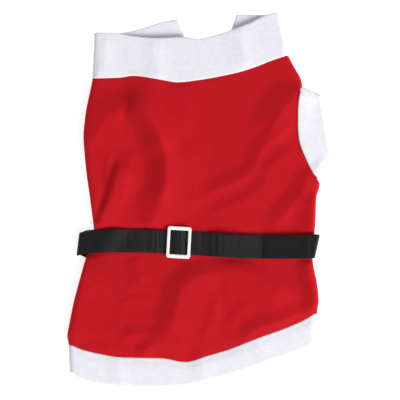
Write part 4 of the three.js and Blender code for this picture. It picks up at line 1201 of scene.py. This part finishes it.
def moulded_buckle(name):
    b = BUCKLE
    bm = bmesh.new()
    loops = []
    inner_size = b["width"] - 2 * b["side"], b["height"] - 2 * b["rail"]
    outlines = (
        rounded_outline(b["width"], b["height"], b["corner"]),
        rounded_outline(*inner_size, b["inner_corner"]),
    )
    for outline in outlines:
        verts = [bm.verts.new(p) for p in outline]
        loops += [bm.edges.new((v, w)) for v, w in zip(verts, verts[1:] + verts[:1])]
    plate = bmesh.ops.bridge_loops(bm, edges=loops)["faces"]
    raised = bmesh.ops.extrude_face_region(bm, geom=plate)["geom"]
    top = [g for g in raised if isinstance(g, bmesh.types.BMVert)]
    bmesh.ops.translate(bm, verts=top, vec=(0, 0, b["thick"]))
    rims = [e for e in bm.edges if len(e.link_faces) == 2 and e.calc_face_angle() > EDGE_ANGLE]
    bmesh.ops.bevel(
        bm, geom=rims, offset=BUCKLE_ROUND, segments=4, profile=0.5, affect="EDGES", material=-1
    )
    bar = bmesh.ops.create_cube(bm, size=1)["verts"]
    bmesh.ops.scale(bm, verts=bar, vec=(b["bar"], b["height"] - b["rail"], b["bar_thick"]))
    bmesh.ops.translate(bm, verts=bar, vec=(0, 0, b["bar_thick"] / 2))
    bmesh.ops.recalc_face_normals(bm, faces=bm.faces)
    rise = belt_top(b["x"] + LEAN_RUN) - belt_top(b["x"] - LEAN_RUN)
    lean = np.arctan(rise / (2 * LEAN_RUN))
    bmesh.ops.rotate(bm, verts=bm.verts, matrix=Matrix.Rotation(lean, 3, "Z"))
    bmesh.ops.translate(bm, verts=bm.verts, vec=(b["x"], belt_top(b["x"]), buckle_floor))
    bmesh.ops.scale(bm, verts=bm.verts, vec=(MM, MM, MM))
    return add_piece(name, bm)


def moulded_plastic(name, colour):
    """Injection-moulded ABS: smooth and glossy, with a faint waviness in its shine."""
    material, tree, shader = new_material(name)
    look = {
        "Base Color": linear(colour),
        "Normal": bumps(tree, noise(tree, 6.0, detail=2), 0.05, 0.3),
        "Roughness": 0.22,
        "IOR": 1.53,
    }
    set_inputs(tree, shader, look)
    return material


buckle = moulded_buckle("moulded_buckle")
buckle.data.materials.append(moulded_plastic("white_abs_plastic", "#fefdf9"))
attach(buckle, "root")
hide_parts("buckle")

# The studio: a white table under soft light from all round, with a large soft lamp low on the
# right, and a camera straight above the coat.

# In metres: the view is as wide as the photograph, 400 pixels of 1.04 mm
VIEW_WIDTH = 0.416
CAMERA_HEIGHT = 1.9
# About half the coat's height, where the view has that width
COAT_MIDDLE = 0.01
SENSOR_MM = 36
# The table's top lies this far under the coat
TABLE_GAP = 0.0003
WHITE = (1, 1, 1, 1)

bm = bmesh.new()
bmesh.ops.create_grid(bm, x_segments=1, y_segments=1, size=3)
bmesh.ops.translate(bm, verts=bm.verts, vec=(0, 0, -TABLE_GAP))
floor = add_piece("table", bm)
# White card: matt, and giving off light of its own, so that no hard shadow falls on it
white_card, tree, shader = new_material("white_card")
card_look = {
    "Base Color": linear("#f7f7f7"),
    "Roughness": 0.9,
    "Specular IOR Level": 0.1,
    "Emission Color": WHITE,
    "Emission Strength": 0.66,
}
set_inputs(tree, shader, card_look)
floor.data.materials.append(white_card)

sky = bpy.data.worlds.new("soft_room")
sky.use_nodes = True
background = sky.node_tree.nodes["Background"]
set_inputs(sky.node_tree, background, {"Color": WHITE, "Strength": 0.4})
bpy.context.scene.world = sky


def soft_lamp(name, place, size, watts):
    lamp = bpy.data.lights.new(name, "AREA")
    lamp.size = size
    lamp.energy = watts
    holder = bpy.data.objects.new(name, lamp)
    holder.location = place
    holder.rotation_euler = (-Vector(place)).to_track_quat("-Z", "Y").to_euler()
    bpy.context.collection.objects.link(holder)


soft_lamp("lamp_right", (3.8, -2.96, 3.6), 4.0, 390)

camera_data = bpy.data.cameras.new("camera")
camera_data.sensor_width = SENSOR_MM
camera_data.lens = SENSOR_MM * (CAMERA_HEIGHT - COAT_MIDDLE) / VIEW_WIDTH
camera = bpy.data.objects.new("camera", camera_data)
camera.location = (0, 0, CAMERA_HEIGHT)
bpy.context.collection.objects.link(camera)
bpy.context.scene.camera = camera
bpy.context.scene.view_settings.view_transform = "Standard"
